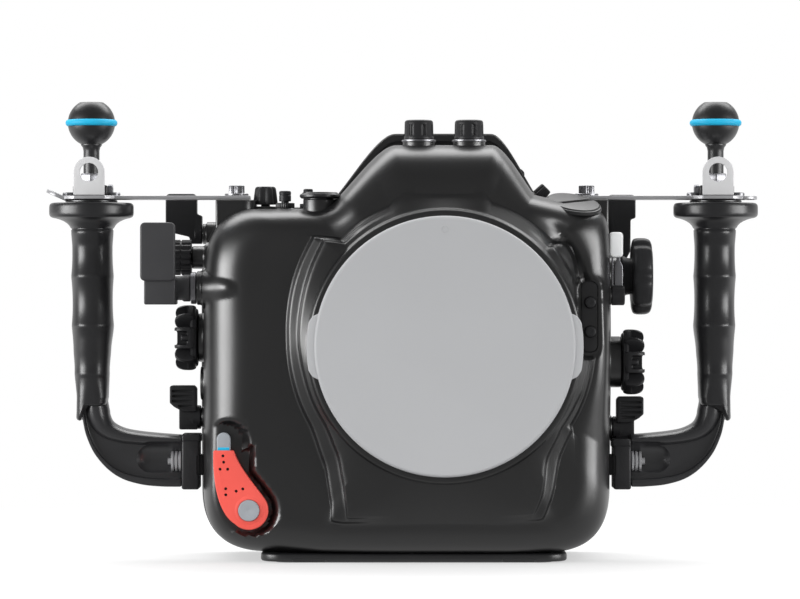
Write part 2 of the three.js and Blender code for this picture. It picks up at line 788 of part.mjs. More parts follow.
function rearBores() {
  const places = [
    ...Object.values(rearButtons).map((b) => [b.x, b.rise, b.radius + rearButton.boss, rearButton.shaft]),
    [rearDial.x, -rearDial.drop, rearDial.boss, spindle.radius],
    [joystick.x, joystick.rise, joystick.boss, spindle.radius],
    [viewLever.x, viewLever.rise, viewLever.boss, spindle.radius],
  ];
  const [added, bored] = [[], []];
  for (const [x, rise, boss, shaft] of places) {
    const at = [port.x + x, 0, port.height + rise];
    added.push(bar("y", boss, rearBack - rear.back, rearBack + viewLever.bossHeight).translate(...at));
    const hole = bar("y", shaft + fit.gap, rearBack - 2 * rear.back, rearBack + rear.back, sides.small);
    bored.push(hole.translate(...at));
  }
  return [added, bored];
}

function rearHousing() {
  const groove = { inner: seal.land + seal.radius + fit.gap, outer: seal.land - seal.radius - fit.gap };
  const grooveBack = rearFront + 2 * seal.radius + fit.gap;
  const section = (angle) => {
    const reach = reachIn(rearOutline, angle);
    const lip = reach + rear.lip;
    return [
      [0, rearBack - rear.back],
      [reach - rear.wall - rear.roundRun, rearBack - rear.back],
      [reach - rear.wall - fit.gap, rearBack - rear.back - rear.roundDepth],
      [reach - rear.wall, rearFront],
      [reach - groove.inner, rearFront],
      [reach - groove.inner, grooveBack],
      [reach - groove.outer, grooveBack],
      [reach - groove.outer, rearFront],
      [lip, rearFront],
      [lip, rearFront + rear.lipDepth],
      [reach, rearFront + rear.lipDepth + rear.lip],
      [reach, rearBack - rear.roundDepth],
      [reach - 0.25 * rear.roundRun, rearBack - 0.35 * rear.roundDepth],
      [reach - rear.roundRun, rearBack],
      [0, rearBack],
    ];
  };
  const [added, bored] = bossesOf(rearControls, rear.wall);
  const [rearAdded, rearBored] = rearBores();
  const sx = port.x + screen.x;
  const sz = port.height - screen.drop;
  const seat = roundedRect(screen.width + 2 * fit.gap, screen.height + 2 * fit.gap, screen.corner);
  const [openWidth, openHeight] = [screen.width - 2 * screen.ledge, screen.height - 2 * screen.ledge];
  const opening = roundedRect(openWidth, openHeight, screen.corner);
  const seatCut = frontPlate(seat, screen.thickness + fit.gap + fit.overrun);
  bored.push(seatCut.translate(sx, rearBack + fit.overrun, sz));
  bored.push(frontPlate(opening, 3 * rear.back).translate(sx, rearBack + rear.back, sz));
  const eyeZ = port.height + eyepiece.rise;
  const eyeBore = bar("y", eyepiece.bore, rearBack - 2 * rear.back, rearBack + rear.back);
  bored.push(eyeBore.translate(port.x, 0, eyeZ));
  for (const side of [-1, 1]) {
    const c = side < 0 ? sideControls.leftLatch : sideControls.rightLatch;
    const inner = wallOf(side) - side * rear.wall;
    const outer = wallOf(side) + side * latch.pinReach;
    const pin = bar("x", latchPin.boss, Math.min(inner, outer), Math.max(inner, outer), sides.small);
    added.push(pin.translate(0, c.y + latchPin.aft + latchPin.boss, heightOf(c)));
  }
  const below = block(2 * leftWall, 2 * rightWall, -rearBack, 2 * rearBack, -floorZ, floorZ);
  return cut(join(skin(aroundPort(section), false), ...added, ...rearAdded), ...bored, ...rearBored, below);
}

function mainSeal() {
  const facets = 4;
  const section = (angle) => {
    const reach = reachIn(rearOutline, angle) - seal.land;
    return Array.from({ length: facets }, (_, k) => {
      const a = ((k + 0.5) * 2 * Math.PI) / facets;
      return [reach + seal.radius * Math.cos(a), rearFront + seal.radius + seal.radius * Math.sin(a)];
    });
  };
  return skin(aroundPort(section), true);
}

// Port, cap and their seals
const portRing = { wall: 3.2, length: 14, lip: 1.6, lipLength: 3 };
const cap = {
  radius: 68.4,
  thickness: 4.7,
  web: 3.4,
  edge: 1.8,
  skirtLength: 10,
  skirtWall: 4.6,
  play: 0.9,
  grooveDepth: 2,
  tabReach: 4,
  tabHalf: 17.8,
  tabSlope: 4,
  tabThickness: 3.8,
};
const capSeal = { radius: 1.05, fromFace: 5.4, facets: 4 };
const ringOuter = port.bore - fit.gap;
const ringInner = ringOuter - portRing.wall;
const capBack = rimFace - fit.gap;
const skirtRadius = ringInner - cap.play;

function bayonetRing() {
  const [front, back] = [rimFace + fit.gap, rimFace + portRing.length];
  return turned(
    "y",
    [
      [ringInner, front],
      [ringOuter, front],
      [ringOuter, back],
      [ringInner - portRing.lip, back],
      [ringInner - portRing.lip, back - portRing.lipLength],
      [ringInner, back - portRing.lipLength],
      [ringInner, front],
    ],
    sides.large,
  ).translate(port.x, 0, port.height);
}

function portCap() {
  const front = -cap.thickness;
  const grooveHalf = capSeal.radius + fit.gap;
  const disc = turned(
    "y",
    [
      [0, front],
      [cap.radius - cap.edge, front],
      [cap.radius, front + cap.edge],
      [cap.radius, 0],
      [skirtRadius, 0],
      [skirtRadius, capSeal.fromFace - grooveHalf],
      [skirtRadius - cap.grooveDepth, capSeal.fromFace - grooveHalf],
      [skirtRadius - cap.grooveDepth, capSeal.fromFace + grooveHalf],
      [skirtRadius, capSeal.fromFace + grooveHalf],
      [skirtRadius, cap.skirtLength],
      [skirtRadius - cap.skirtWall, cap.skirtLength],
      [skirtRadius - cap.skirtWall, front + cap.web],
      [0, front + cap.web],
    ],
    sides.large,
  );
  const tabs = [-1, 1].map((side) => {
    const outer = cap.radius + cap.tabReach;
    const s = new THREE.Shape();
    s.moveTo(skirtRadius, -cap.tabHalf - cap.tabSlope);
    s.lineTo(cap.radius - cap.tabReach, -cap.tabHalf - cap.tabSlope);
    const a = Math.asin(cap.tabHalf / outer);
    s.absarc(0, 0, outer, -a, a);
    s.lineTo(cap.radius - cap.tabReach, cap.tabHalf + cap.tabSlope);
    s.lineTo(skirtRadius, cap.tabHalf + cap.tabSlope);
    const tab = frontPlate(s, cap.tabThickness, 5);
    return side < 0 ? tab.rotateY(Math.PI) : tab;
  });
  const [right, left] = tabs;
  return join(disc, right, left);
}

// The profile of a ring of round section
function torus(radius, section, facets) {
  return Array.from({ length: facets + 1 }, (_, k) => {
    const a = (k * 2 * Math.PI) / facets;
    return [radius + section * Math.cos(a), section * Math.sin(a)];
  });
}

// Controls that stand on a side boss. Each is made with +X outwards from the boss's face.
const gear = { radius: 12, teeth: 22, tooth: 2, thickness: 6, inset: 1.5 };
const dial = { radius: 9.7, thickness: 11, scallop: 0.9, count: 18 };

function shaftInto(reach, wall = shell.wall) {
  return bar("x", spindle.radius, -reach - wall - spindle.past, fit.gap + fit.overlap, sides.small);
}

function lobedKnob(reach) {
  const start = fit.gap;
  const parts = [
    bar("x", lobed.radius - lobed.lobe, start, start + lobed.base),
    bar("x", lobed.hub, start, start + lobed.hubHeight, sides.small),
    shaftInto(reach),
  ];
  for (let i = 0; i < lobed.count; i++) {
    const a = ((i + 0.5) * 2 * Math.PI) / lobed.count;
    const far = lobed.radius - lobed.lobe;
    const lobe = bar("x", lobed.lobe, start, start + lobed.height, sides.tiny);
    parts.push(lobe.translate(0, far * Math.cos(a), far * Math.sin(a)));
  }
  return join(...parts);
}

function focusWheel(reach) {
  const w = wheel;
  const start = fit.gap;
  const from = start + w.collarLength;
  const to = from + w.thickness;
  const body = turned(
    "x",
    [
      [0, start],
      [w.collar, start],
      [w.collar - w.dish, from],
      [w.radius - w.edge, from],
      [w.radius, from + w.edge],
      [w.radius, to - w.edge],
      [w.radius - w.edge, to],
      [w.collar, to - w.dish],
      [0, to - w.dish],
    ],
    sides.wheel,
  );
  const past = gear.inset + gear.thickness + spindle.past;
  const shaft = bar("x", spindle.radius, -reach - shell.wall - past, start + fit.overlap, sides.small);
  return join(body, shaft);
}

function driveGear(reach) {
  const body = sidePlate(scalloped(gear.radius, gear.tooth, gear.teeth), gear.thickness);
  const bore = bar("x", boreRadius, -fit.overrun, gear.thickness + fit.overrun, sides.small);
  return cut(body, bore).translate([-reach - shell.wall - gear.inset - gear.thickness, 0, 0]);
}

function sideDial(reach) {
  const body = sidePlate(scalloped(dial.radius, dial.scallop, dial.count), dial.thickness);
  return join(body.translate(fit.gap, 0, 0), shaftInto(reach));
}

const trigger = {
  bush: 8.5,
  bushLength: 2.8,
  hub: 7.2,
  hubLength: 9.6,
  armWidth: 15.6,
  armHeight: 14.3,
  armDrop: 8.8,
  armFront: 20,
  armBack: 6,
  paddleWidth: 17.8,
  paddleRise: 34.7,
  paddleThickness: 4,
  corner: 3,
  edge: 0.8,
};

function shutterBush() {
  const ring = bar("x", trigger.bush, fit.gap, fit.gap + trigger.bushLength);
  return cut(ring, bar("x", boreRadius, 0, trigger.bushLength + fit.overrun, sides.small));
}

function shutterLever(reach) {
  const t = trigger;
  const start = 2 * fit.gap + t.bushLength;
  const armFrom = start + t.hubLength;
  const armTo = armFrom + t.armWidth;
  const arm = block(armFrom, armTo, -t.armFront, t.armBack, -t.armDrop, t.armHeight - t.armDrop);
  const height = t.paddleRise + t.armDrop;
  const paddle = frontPlate(roundedRect(t.paddleWidth, height, t.corner), t.paddleThickness, 3, t.edge);
  paddle.translate(armFrom + t.paddleWidth / 2, -t.armFront + t.paddleThickness, t.paddleRise - height / 2);
  const hub = bar("x", t.hub, start, armFrom + fit.overlap);
  const shaftEnd = -reach - shell.wall - spindle.past;
  const shaft = bar("x", spindle.radius, shaftEnd, start + fit.overlap, sides.small);
  return join(hub, shaft, arm, paddle);
}

// A thumb lever: a hub with an upright plate that is wider at its head
const thumb = {
  hub: 5.4,
  hubLength: 4,
  thickness: 4,
  corner: 1.4,
  left: { width: 17, rise: 22, head: 0, headRise: 0 },
  right: { width: 11.4, rise: 33, head: 2.4, headRise: 13.6 },
};

function thumbLever(t, reach) {
  const start = fit.gap;
  const from = start + thumb.hubLength;
  const tall = t.rise + thumb.hub;
  const plate = frontPlate(roundedRect(t.width, tall, thumb.corner), thumb.thickness, 3).translate(
    from + t.width / 2 - fit.overlap,
    thumb.thickness / 2,
    t.rise - tall / 2,
  );
  const parts = [plate, bar("x", thumb.hub, start, from + thumb.hubLength), shaftInto(reach, rear.wall)];
  if (t.head > 0) {
    const head = frontPlate(roundedRect(t.width + t.head, t.headRise, thumb.corner), thumb.thickness, 3);
    const headX = from + (t.width + t.head) / 2 - fit.overlap;
    parts.push(head.translate(headX, thumb.thickness / 2, t.rise - t.headRise / 2));
  }
  return join(...parts);
}

// The lens lever: a blade on a short hub, with a pad at its top
const blade = {
  hub: 5,
  hubLength: 7,
  width: 4.6,
  thickness: 4,
  rise: 20.6,
  padWidth: 7,
  padDepth: 7.4,
  padHeight: 13.4,
  corner: 2,
  edge: 0.8,
};

function lensLever(reach) {
  const b = blade;
  const start = fit.gap;
  const mid = start + b.hubLength / 2;
  const pad = frontPlate(roundedRect(b.padWidth, b.padHeight, b.corner), b.padDepth, 3, b.edge);
  const [x0, x1] = [mid - b.width / 2, mid + b.width / 2];
  return join(
    bar("x", b.hub, start, start + b.hubLength),
    block(x0, x1, -b.thickness / 2, b.thickness / 2, 0, b.rise + fit.overlap),
    pad.translate(mid, b.padDepth / 2, b.rise + b.padHeight / 2),
    shaftInto(reach),
  );
}

// A latch: a hub, a ribbed thumb piece above it and a claw that reaches back to the rear shell's pin
function latchLever(reach) {
  const l = latch;
  const start = fit.gap;
  const from = start + l.start;
  const low = l.thumbFoot;
  const thumbPiece = frontPlate(roundedRect(l.thumbWidth, l.thumbHeight, l.corner), l.depth, 3, l.edge);
  thumbPiece.translate(from + l.thumbWidth / 2, l.depth / 2, low + l.thumbHeight / 2);
  const ribs = [];
  for (let i = 0; i < l.ribs; i++) {
    const z = low + ((i + 0.7) * l.thumbHeight) / (l.ribs + 0.4);
    const [x0, x1] = [from + l.ribStart, from + l.thumbWidth - l.ribEnd];
    ribs.push(block(x0, x1, -l.depth / 2 - l.rib, 0, z - l.rib, z + l.rib));
  }
  const body = bar("x", l.hub, start, start + l.bodyLength);
  const clawBack = latchPin.aft + 2 * latchPin.boss + l.claw;
  const clawX = start + fit.gap;
  const claw = block(clawX, clawX + l.claw, 0, clawBack, -l.clawHeight / 2, l.clawHeight / 2);
  const mouthEnd = l.claw + 2 * fit.overrun;
  const round = bar("x", latchPin.boss + 3 * fit.gap, -fit.overrun, mouthEnd);
  const mouth = join(
    round.translate(0, latchPin.aft + latchPin.boss, 0),
    block(
      -fit.overrun,
      mouthEnd,
      latchPin.aft - 3 * fit.gap,
      latchPin.aft + 2 * latchPin.boss + 3 * fit.gap,
      -l.clawHeight,
      0,
    ),
  );
  return cut(join(body, thumbPiece, ...ribs, claw, shaftInto(reach)), mouth);
}

// Handles, made with +X outwards from the wall and the grip's axis at its standoff
const stripZ = earTop + fit.gap;
const gripTop = stripZ - fit.gap - handle.head - fit.gap;
const gripLow = armTop + handle.gripLift;
const boltZ = armLow + 0.5 * handle.armHeight;
const boltY = handle.y - handle.armDepth / 2 + handle.web - armBolt.inset;

function handleCore(side, axis) {
  const from = bracket.from + bracket.thickness + fit.gap;
  const top = gripLow - fit.gap;
  const o = handle.outer;
  const outline = (inset) => {
    const s = new THREE.Shape();
    const [low, high] = [armLow + inset, armTop - inset];
    const [outerX, innerX] = [axis + o - inset, axis - o + inset];
    const end = from - (inset > 0 ? fit.overrun : 0);
    const b = handle.bend;
    s.moveTo(outerX, top);
    s.bezierCurveTo(outerX, top - 0.62 * b, axis - 0.1 * b, low, axis - 0.8 * b, low);
    s.lineTo(end, low);
    s.lineTo(end, high);
    s.lineTo(axis - b, high);
    s.bezierCurveTo(axis - 0.55 * b, high, innerX, high, innerX, top);
    return s;
  };
  const front = handle.y - handle.armDepth / 2;
  const arm = frontPlate(outline(0), handle.armDepth, 6).translate(0, handle.y + handle.armDepth / 2, 0);
  const pocketLine = outline(handle.flange);
  const pocket = frontPlate(pocketLine, handle.web + fit.overrun, 6).translate(0, front + handle.web, 0);
  const [keepFront, keepBack] = [front - handle.armDepth, front + handle.armDepth];
  const keep = block(-axis, 3 * axis, keepFront, keepBack, armTop - handle.flange, top + handle.bend);
  const boltEnd = from + armBolt.count * (armBolt.washer + armBolt.space) + 2 * fit.gap;
  const boltRoom = bar("x", armBolt.radius + fit.gap, from - fit.overrun, boltEnd, sides.boss);
  const rodTop = stripZ - fit.gap;
  const rod = bar("z", handle.rod, top - handle.rod, rodTop, sides.small).translate(axis, handle.y, 0);
  const head = bar("z", handle.headRadius, gripTop + fit.gap, rodTop).translate(axis, handle.y, 0);
  const body = cut(arm, solid(pocket).subtract(solid(keep)), boltRoom.translate(0, boltY, boltZ));
  if (side < 0) return join(body, rod, head);
  const notchLow = armTop - latchNotch.depth;
  const notch = block(from - fit.overrun, from + latchNotch.run, -axis, axis, notchLow, armTop + axis);
  return cut(join(body, rod, head), notch);
}

function gripLoft(axis) {
  const g = grip;
  const length = gripTop - gripLow;
  const neck = gripTop - g.flangeHeight - g.flare;
  const body = neck - gripLow;
  const count = 18;
  const ring = (z, half, front, back) =>
    Array.from({ length: count }, (_, k) => {
      const a = (k * 2 * Math.PI) / count;
      const [c, s] = [Math.cos(a), Math.sin(a)];
      const across = half * Math.sign(c) * Math.abs(c) ** 0.8;
      const deep = (s < 0 ? front : back) * Math.sign(s) * Math.abs(s) ** 0.9;
      return new THREE.Vector3(axis + across, handle.y + deep, z);
    });
  const ridgeShares = [0.02, 0.24, 0.49, 0.74, 1];
  const rings = [];
  for (let i = 0; i < 4; i++) {
    for (const t of [0, 0.5]) {
      const share = ridgeShares[i] + (ridgeShares[i + 1] - ridgeShares[i]) * t;
      const half = g.lowHalf + (g.half - g.lowHalf) * share;
      const scoop = g.scoop * Math.sin(Math.PI * t);
      rings.push(ring(gripLow + (i || t ? share : 0) * body, half, g.front - scoop, g.back));
    }
  }
  rings.push(ring(neck, g.half, g.front - g.scoop / 2, g.back));
  rings.push(ring(neck + 0.6 * g.flare, 1.2 * g.half, g.front, g.back + g.swell));
  const [under, over] = [gripTop - g.flangeHeight, gripTop];
  const flange = [
    [under, g.flangeRadius - 2 * g.edge],
    [under + g.edge, g.flangeRadius],
    [over - g.edge, g.flangeRadius],
    [over, g.flangeRadius - g.edge],
  ];
  for (const [z, r] of flange) rings.push(ring(z, r, r, r));
  const centre = (z) => Array.from({ length: count }, () => new THREE.Vector3(axis, handle.y, z));
  const loft = skin([centre(gripLow), ...rings, centre(gripTop)], false);
  const bore = bar("z", handle.rod + fit.gap, gripLow - length, gripTop + length, sides.small);
  return cut(loft, bore.translate(axis, handle.y, 0));
}

function handleBracket(side) {
  const height = side < 0 ? bracket.height.left : bracket.height.right;
  const low = armLow - bracket.below;
  const b = bracket;
  const end = b.from + b.thickness;
  const mid = low + height / 2;
  const body = block(b.from, end, handle.y - b.depth / 2, handle.y + b.depth / 2, low, low + height);
  const [padFront, padBack] = [handle.y - b.padDepth / 2, handle.y + b.padDepth / 2];
  const [padLow, padTop] = [mid - b.padHeight / 2, mid + b.padHeight / 2];
  const pad = block(fit.gap, b.from + fit.overlap, padFront, padBack, padLow, padTop);
  const shank = armBolt.shank + fit.gap;
  const hole = bar("x", shank, end - armBolt.reach - fit.gap, end + fit.overrun, sides.tiny);
  return cut(join(body, pad), hole.translate(0, boltY, boltZ));
}

function armScrew() {
  const a = armBolt;
  const from = bracket.from + bracket.thickness + fit.gap;
  const parts = [bar("x", a.shank, from - a.reach, from + fit.overlap, sides.tiny)];
  for (let i = 0; i < a.count; i++) {
    const x = from + i * (a.washer + a.space);
    parts.push(bar("x", a.radius, x, x + a.washer, sides.boss));
    const next = x + a.washer + a.space + fit.overlap;
    if (i < a.count - 1) parts.push(bar("x", a.neck, x, next, sides.tiny));
  }
  return join(...parts).translate([0, boltY, boltZ]);
}

function topStrip(side, axis) {
  const key = side < 0 ? "left" : "right";
  const screwX = -ear[key].screw;
  const w = strip.width / 2;
  const p = strip.padWidth / 2;
  const end = axis + strip.tail[key] - (strip.tabRise[key] > 0 ? strip.tabRun / 4 : 0);
  const s = new THREE.Shape();
  s.moveTo(screwX, -w);
  s.lineTo(axis - strip.padHalf - w, -w);
  s.lineTo(axis - strip.padHalf, -p);
  s.lineTo(axis + strip.padHalf - strip.padCut, -p);
  s.lineTo(end, -w);
  s.lineTo(end, w);
  s.lineTo(axis + strip.padHalf - strip.padCut, p);
  s.lineTo(axis - strip.padHalf, p);
  s.lineTo(axis - strip.padHalf - w, w);
  s.lineTo(screwX, w);
  s.absarc(screwX, 0, w, Math.PI / 2, Math.PI * 1.5);
  const plate = flatPlate(s, strip.thickness, 5).translate(0, ear.y, stripZ);
  const lugShape = new THREE.Shape();
  const half = lug.width / 2;
  const centreZ = lug.rise - half;
  lugShape.moveTo(-half, 0);
  lugShape.lineTo(half, 0);
  lugShape.absarc(0, centreZ, half, 0, Math.PI);
  const stripTop = stripZ + strip.thickness;
  const lugBack = handle.y - p + lug.inset;
  const upright = frontPlate(lugShape, lug.thickness, 6).translate(axis, lugBack, stripTop);
  const [rootFront, rootBack] = [lugBack - lug.thickness, lugBack + lug.inset];
  const root = block(axis - half, axis + half, rootFront, rootBack, stripZ, stripTop + lug.inset);
  const hole = bar("y", lug.hole, -2 * p, p, sides.boss).translate(axis, handle.y - p, stripTop + centreZ);
  const parts = [plate, root, cut(upright, hole)];
  if (strip.tabRise[key] > 0) {
    const tab = new THREE.Shape();
    const x0 = axis + strip.tail[key] - strip.tabRun / 4 - fit.overlap;
    const x1 = x0 + strip.tabRun;
    const t = strip.thickness;
    tab.moveTo(x0, 0);
    tab.lineTo(x0 + t, 0);
    tab.lineTo(x1, strip.tabRise[key]);
    tab.lineTo(x1 - t, strip.tabRise[key] + t / 2);
    tab.lineTo(x0, t);
    const tabBody = frontPlate(tab, strip.width - 2 * fit.overlap);
    parts.push(tabBody.translate(0, ear.y + w - fit.overlap, stripZ));
  }
  const shank = screw.shank + fit.gap;
  const screwHole = bar("z", shank, stripZ - fit.overrun, stripTop + fit.overrun, sides.small);
  return cut(join(...parts), screwHole.translate(screwX, ear.y, 0));
}

function thumbScrew() {
  const low = fit.gap;
  const flangeTop = low + screw.flangeHeight;
  const top = flangeTop + screw.headHeight;
  return cut(
    join(
      bar("z", screw.flange, low, flangeTop),
      bar("z", screw.head, flangeTop - screw.bite, top, sides.small),
      bar("z", screw.shank, -strip.thickness - screw.sunk, low + screw.bite, sides.tiny),
    ),
    bar("z", screw.socket, top - screw.headHeight / 2, top + fit.overrun, sides.tiny),
  );
}

function ballMount() {
  const b = ball;
  const half = b.block / 2;
  const base0 = block(-half, half, -half, half, 0, b.blockHeight);
  const start = Math.asin(b.stem / b.radius);
  const grooveAngle = Math.asin(b.grooveHalf / b.radius);
  const flatAngle = Math.asin(b.flat / b.radius);
  const arc = (from, to, n) =>
    Array.from({ length: n + 1 }, (_, i) => {
      const a = from + ((to - from) * i) / n;
      return [b.radius * Math.cos(a), b.rise + b.radius * Math.sin(a)];
    });
  const grooveRadius = b.radius - b.groove;
  const profile = [
    [0, -b.blockHeight / 2],
    [b.stem, -b.blockHeight / 2],
    ...arc(start - Math.PI / 2, -grooveAngle, 3),
    [grooveRadius, b.rise - b.grooveHalf],
    [grooveRadius, b.rise + b.grooveHalf],
    ...arc(grooveAngle, flatAngle, 3),
    [b.recess, b.rise + b.flat],
    [b.recess, b.rise + b.flat - b.recessDepth],
    [0, b.rise + b.flat - b.recessDepth],
  ];
  return join(base0, turned("z", profile, sides.round).translate(0, 0, b.blockHeight));
}

// A push button's outline: radius and place along its axis
function buttonProfile(radius, height, edge) {
  return [
    [0, 0],
    [radius, 0],
    [radius, height - edge],
    [radius - edge, height],
    [0, height],
  ];
}

// Assembly
const buttonTravel = 1.5;
const housing = new THREE.Group();

function place(parent, name, source, material, at = [0, 0, 0], turn = [0, 0, 0]) {
  const mesh = new THREE.Mesh(geometryOf(source), materials[material]);
  mesh.name = name;
  mesh.position.set(...at);
  mesh.rotation.set(...turn);
  parent.add(mesh);
  return mesh;
}

function addShells() {
  place(housing, "front_housing", frontHousing(), "anodised");
  place(housing, "rear_housing", rearHousing(), "anodised");
  place(housing, "main_oring", mainSeal(), "sealRubber");
  const plate = new THREE.Shape();
  const [w, d] = [base.left + base.right, base.front + base.back];
  plate.curves.push(...roundedRect(w, d, base.corner).curves);
  place(housing, "base_plate", flatPlate(plate, base.thickness, 3, base.chamfer), "anodised", [
    (base.right - base.left) / 2,
    (base.back - base.front) / 2,
    0,
  ]);
  const trayZ = floorZ + shell.wall + fit.gap;
  const [lipLeft, lipRight] = [tray.lip - tray.left, tray.right - tray.lip];
  const trayBody = join(
    block(-tray.left, tray.right, -tray.front, tray.back, 0, tray.thickness),
    block(lipLeft, lipRight, -tray.front, tray.lip / 2 - tray.front, 0, tray.lipHeight),
  );
  place(housing, "camera_tray", trayBody, "anodised", [0, 0, trayZ]);
  const [w2, d2] = [board.width / 2, board.depth / 2];
  const post = bar("z", board.post, -board.thickness / 2, board.drop, sides.tiny);
  const cell = bar("x", board.cell, -board.cellLength / 2, board.cellLength / 2, sides.small);
  const boardBody = join(
    block(-w2, w2, -d2, d2, -board.thickness, 0),
    post.clone().translate(-board.postX, 0, 0),
    post.translate(board.postX, 0, 0),
    cell.translate(0, 0, -board.cell),
  );
  const boardTop = crownZ - shell.wall - fit.gap;
  place(housing, "vacuum_board", boardBody, "board", [port.x, 0, boardTop - board.drop]);
}

function addPort() {
  place(housing, "port_ring", bayonetRing(), "anodised");
  place(housing, "port_cap", portCap(), "capGrey", [port.x, capBack, port.height]);
  const sealRadius = skirtRadius - cap.grooveDepth + fit.gap + capSeal.radius;
  const sealRing = turned("y", torus(sealRadius, capSeal.radius, capSeal.facets), sides.large);
  place(housing, "cap_oring", sealRing, "sealRubber", [port.x, capBack + capSeal.fromFace, port.height]);
}

function addRear() {
  const paneLine = roundedRect(screen.width, screen.height, screen.corner - fit.gap);
  const pane = frontPlate(paneLine, screen.thickness, 3, screen.edge);
  place(housing, "screen_window", pane, "window", [port.x + screen.x, rearBack, port.height - screen.drop]);
  const e = eyepiece;
  const tube = turned(
    "y",
    [
      [e.bore, fit.gap],
      [e.foot, fit.gap],
      [e.foot, 0.55 * e.length],
      [e.hood, 0.72 * e.length],
      [e.hood, e.length],
      [e.hood - e.flare, e.length],
      [e.bore, e.length - e.flare],
      [e.bore, fit.gap],
    ],
    sides.wheel,
  );
  place(housing, "eyepiece_tube", tube, "anodised", [port.x, rearBack, port.height + e.rise]);
  const lens = turned(
    "y",
    [
      [0, -e.lens],
      [0.6 * e.bore, -0.8 * e.lens],
      [e.bore - fit.gap, -e.lens / 2],
      [e.bore - fit.gap, e.lens / 2],
      [0.6 * e.bore, 0.8 * e.lens],
      [0, e.lens],
    ],
    sides.wheel,
  );
  place(housing, "eyepiece_lens", lens, "window", [port.x, rearBack + e.length / 2, port.height + e.rise]);
  const face = rearBack + viewLever.bossHeight + fit.gap;
  const inward = -viewLever.bossHeight - rear.back - fit.gap - fit.overlap;
  for (const [name, b] of Object.entries(rearButtons)) {
    const stem = bar("y", rearButton.shaft, inward, fit.overlap, sides.tiny);
    const body = join(turned("y", buttonProfile(b.radius, rearButton.proud, rearButton.edge)), stem);
    place(housing, name, body, "plastic", [port.x + b.x, face + buttonTravel, port.height + b.rise]);
  }
  const d = rearDial;
  const rimLine = scalloped(d.radius, d.scallop, d.count);
  const wheelBody = join(
    frontPlate(rimLine, d.thickness).translate(0, d.thickness, 0),
    bar("y", spindle.radius, inward, fit.overlap, sides.small),
  );
  const dish = bar("y", 0.62 * d.radius, d.thickness - d.dish, d.thickness + fit.overrun);
  place(housing, "rear_dial", cut(wheelBody, dish), "plastic", [port.x + d.x, face, port.height - d.drop]);
  const j = joystick;
  const stickLine = [
    [0, 0],
    [j.radius, 0],
    [0.7 * j.radius, 0.5 * j.height],
    [j.radius, 0.8 * j.height],
    [0.8 * j.radius, j.height],
    [0, j.height],
  ];
  const stick = join(turned("y", stickLine), bar("y", spindle.radius, inward, fit.overlap, sides.small));
  const stickY = face + buttonTravel;
  place(housing, "rear_joystick", stick, "plastic", [port.x + j.x, stickY, port.height + j.rise]);
  const v = viewLever;
  const blank = frontPlate(roundedRect(v.width, v.length + v.hub, v.corner), v.thickness, 3, v.edge);
  const leverBody = join(
    blank.translate(0, v.thickness, (v.length - v.hub) / 2),
    bar("y", v.hub, 0, v.thickness + fit.overlap),
    bar("y", spindle.radius, inward, fit.overlap, sides.small),
  );
  place(housing, "viewfinder_lever", leverBody, "plastic", [port.x + v.x, face, port.height + v.rise]);
}

function addFrontFittings() {
  const lockGroup = new THREE.Group();
  lockGroup.position.set(lockX, pocketFloor - fit.gap, lockZ);
  housing.add(lockGroup);
  const catchSize = { width: 7.4, thickness: 3.2, inside: 4, outside: 9.5, travel: 3 };
  const body = frontPlate(lockOutline(0), lock.thickness, 6, lock.edge);
  const shaft = bar("y", lock.pivot, -fit.overlap, lock.backing + spindle.past, sides.small);
  const slotHalf = catchSize.width / 2 + fit.gap;
  const mid = -lock.thickness / 2;
  const slotDeep = catchSize.thickness / 2 + fit.gap;
  const slotFoot = lock.rise - catchSize.inside - catchSize.travel - fit.gap;
  const [slotLeft, slotRight] = [-lock.lean - slotHalf, -lock.lean + slotHalf];
  const slotTop = lock.rise + fit.overrun;
  const slot = block(slotLeft, slotRight, mid - slotDeep, mid + slotDeep, slotFoot, slotTop);
  place(lockGroup, "port_lock_lever", cut(join(body, shaft), slot), "lever");
  const capBody = bar("y", 0.54 * lock.head, -lock.capThickness, 0);
  place(lockGroup, "lock_pivot_cap", capBody, "buttonGrey", [0, -lock.thickness - fit.gap, 0]);
  const pillHeight = catchSize.inside + catchSize.outside;
  const pillLine = roundedRect(catchSize.width, pillHeight, catchSize.width / 2);
  const pill = frontPlate(pillLine, catchSize.thickness, 4);
  const pillZ = lock.rise - catchSize.inside + pillHeight / 2;
  place(lockGroup, "lock_catch", pill, "buttonGrey", [-lock.lean, mid + catchSize.thickness / 2, pillZ]);
  const px = port.x + panel.x;
  const hole = bar("y", frontButton.radius + fit.gap, -panel.depth - fit.overrun, fit.overrun);
  const lifts = [frontButton.upper, frontButton.lower];
  const holes = lifts.map((lift) => hole.clone().translate(frontButton.x, 0, lift - panel.rise));
  const plateLine = roundedRect(panel.width - 2 * fit.gap, panel.height - 2 * fit.gap, panel.corner);
  const face = frontPlate(plateLine, panel.plate, 4);
  const seat = panel.y + panel.depth - fit.gap;
  place(housing, "button_plate", cut(face, ...holes), "plastic", [px, seat, port.height + panel.rise]);
  const tall = panel.plate + frontButton.proud;
  const line = buttonProfile(frontButton.radius, tall, frontButton.edge).map(([r, t]) => [r, -t]);
  ["front_button_upper", "front_button_lower"].forEach((name, i) => {
    const stem = bar("y", frontButton.shaft, -fit.overlap, panel.block + fit.overlap, sides.tiny);
    const button = join(turned("y", line), stem);
    const at = [px + frontButton.x, seat - buttonTravel, port.height + lifts[i]];
    place(housing, name, button, "plastic", at);
  });
}

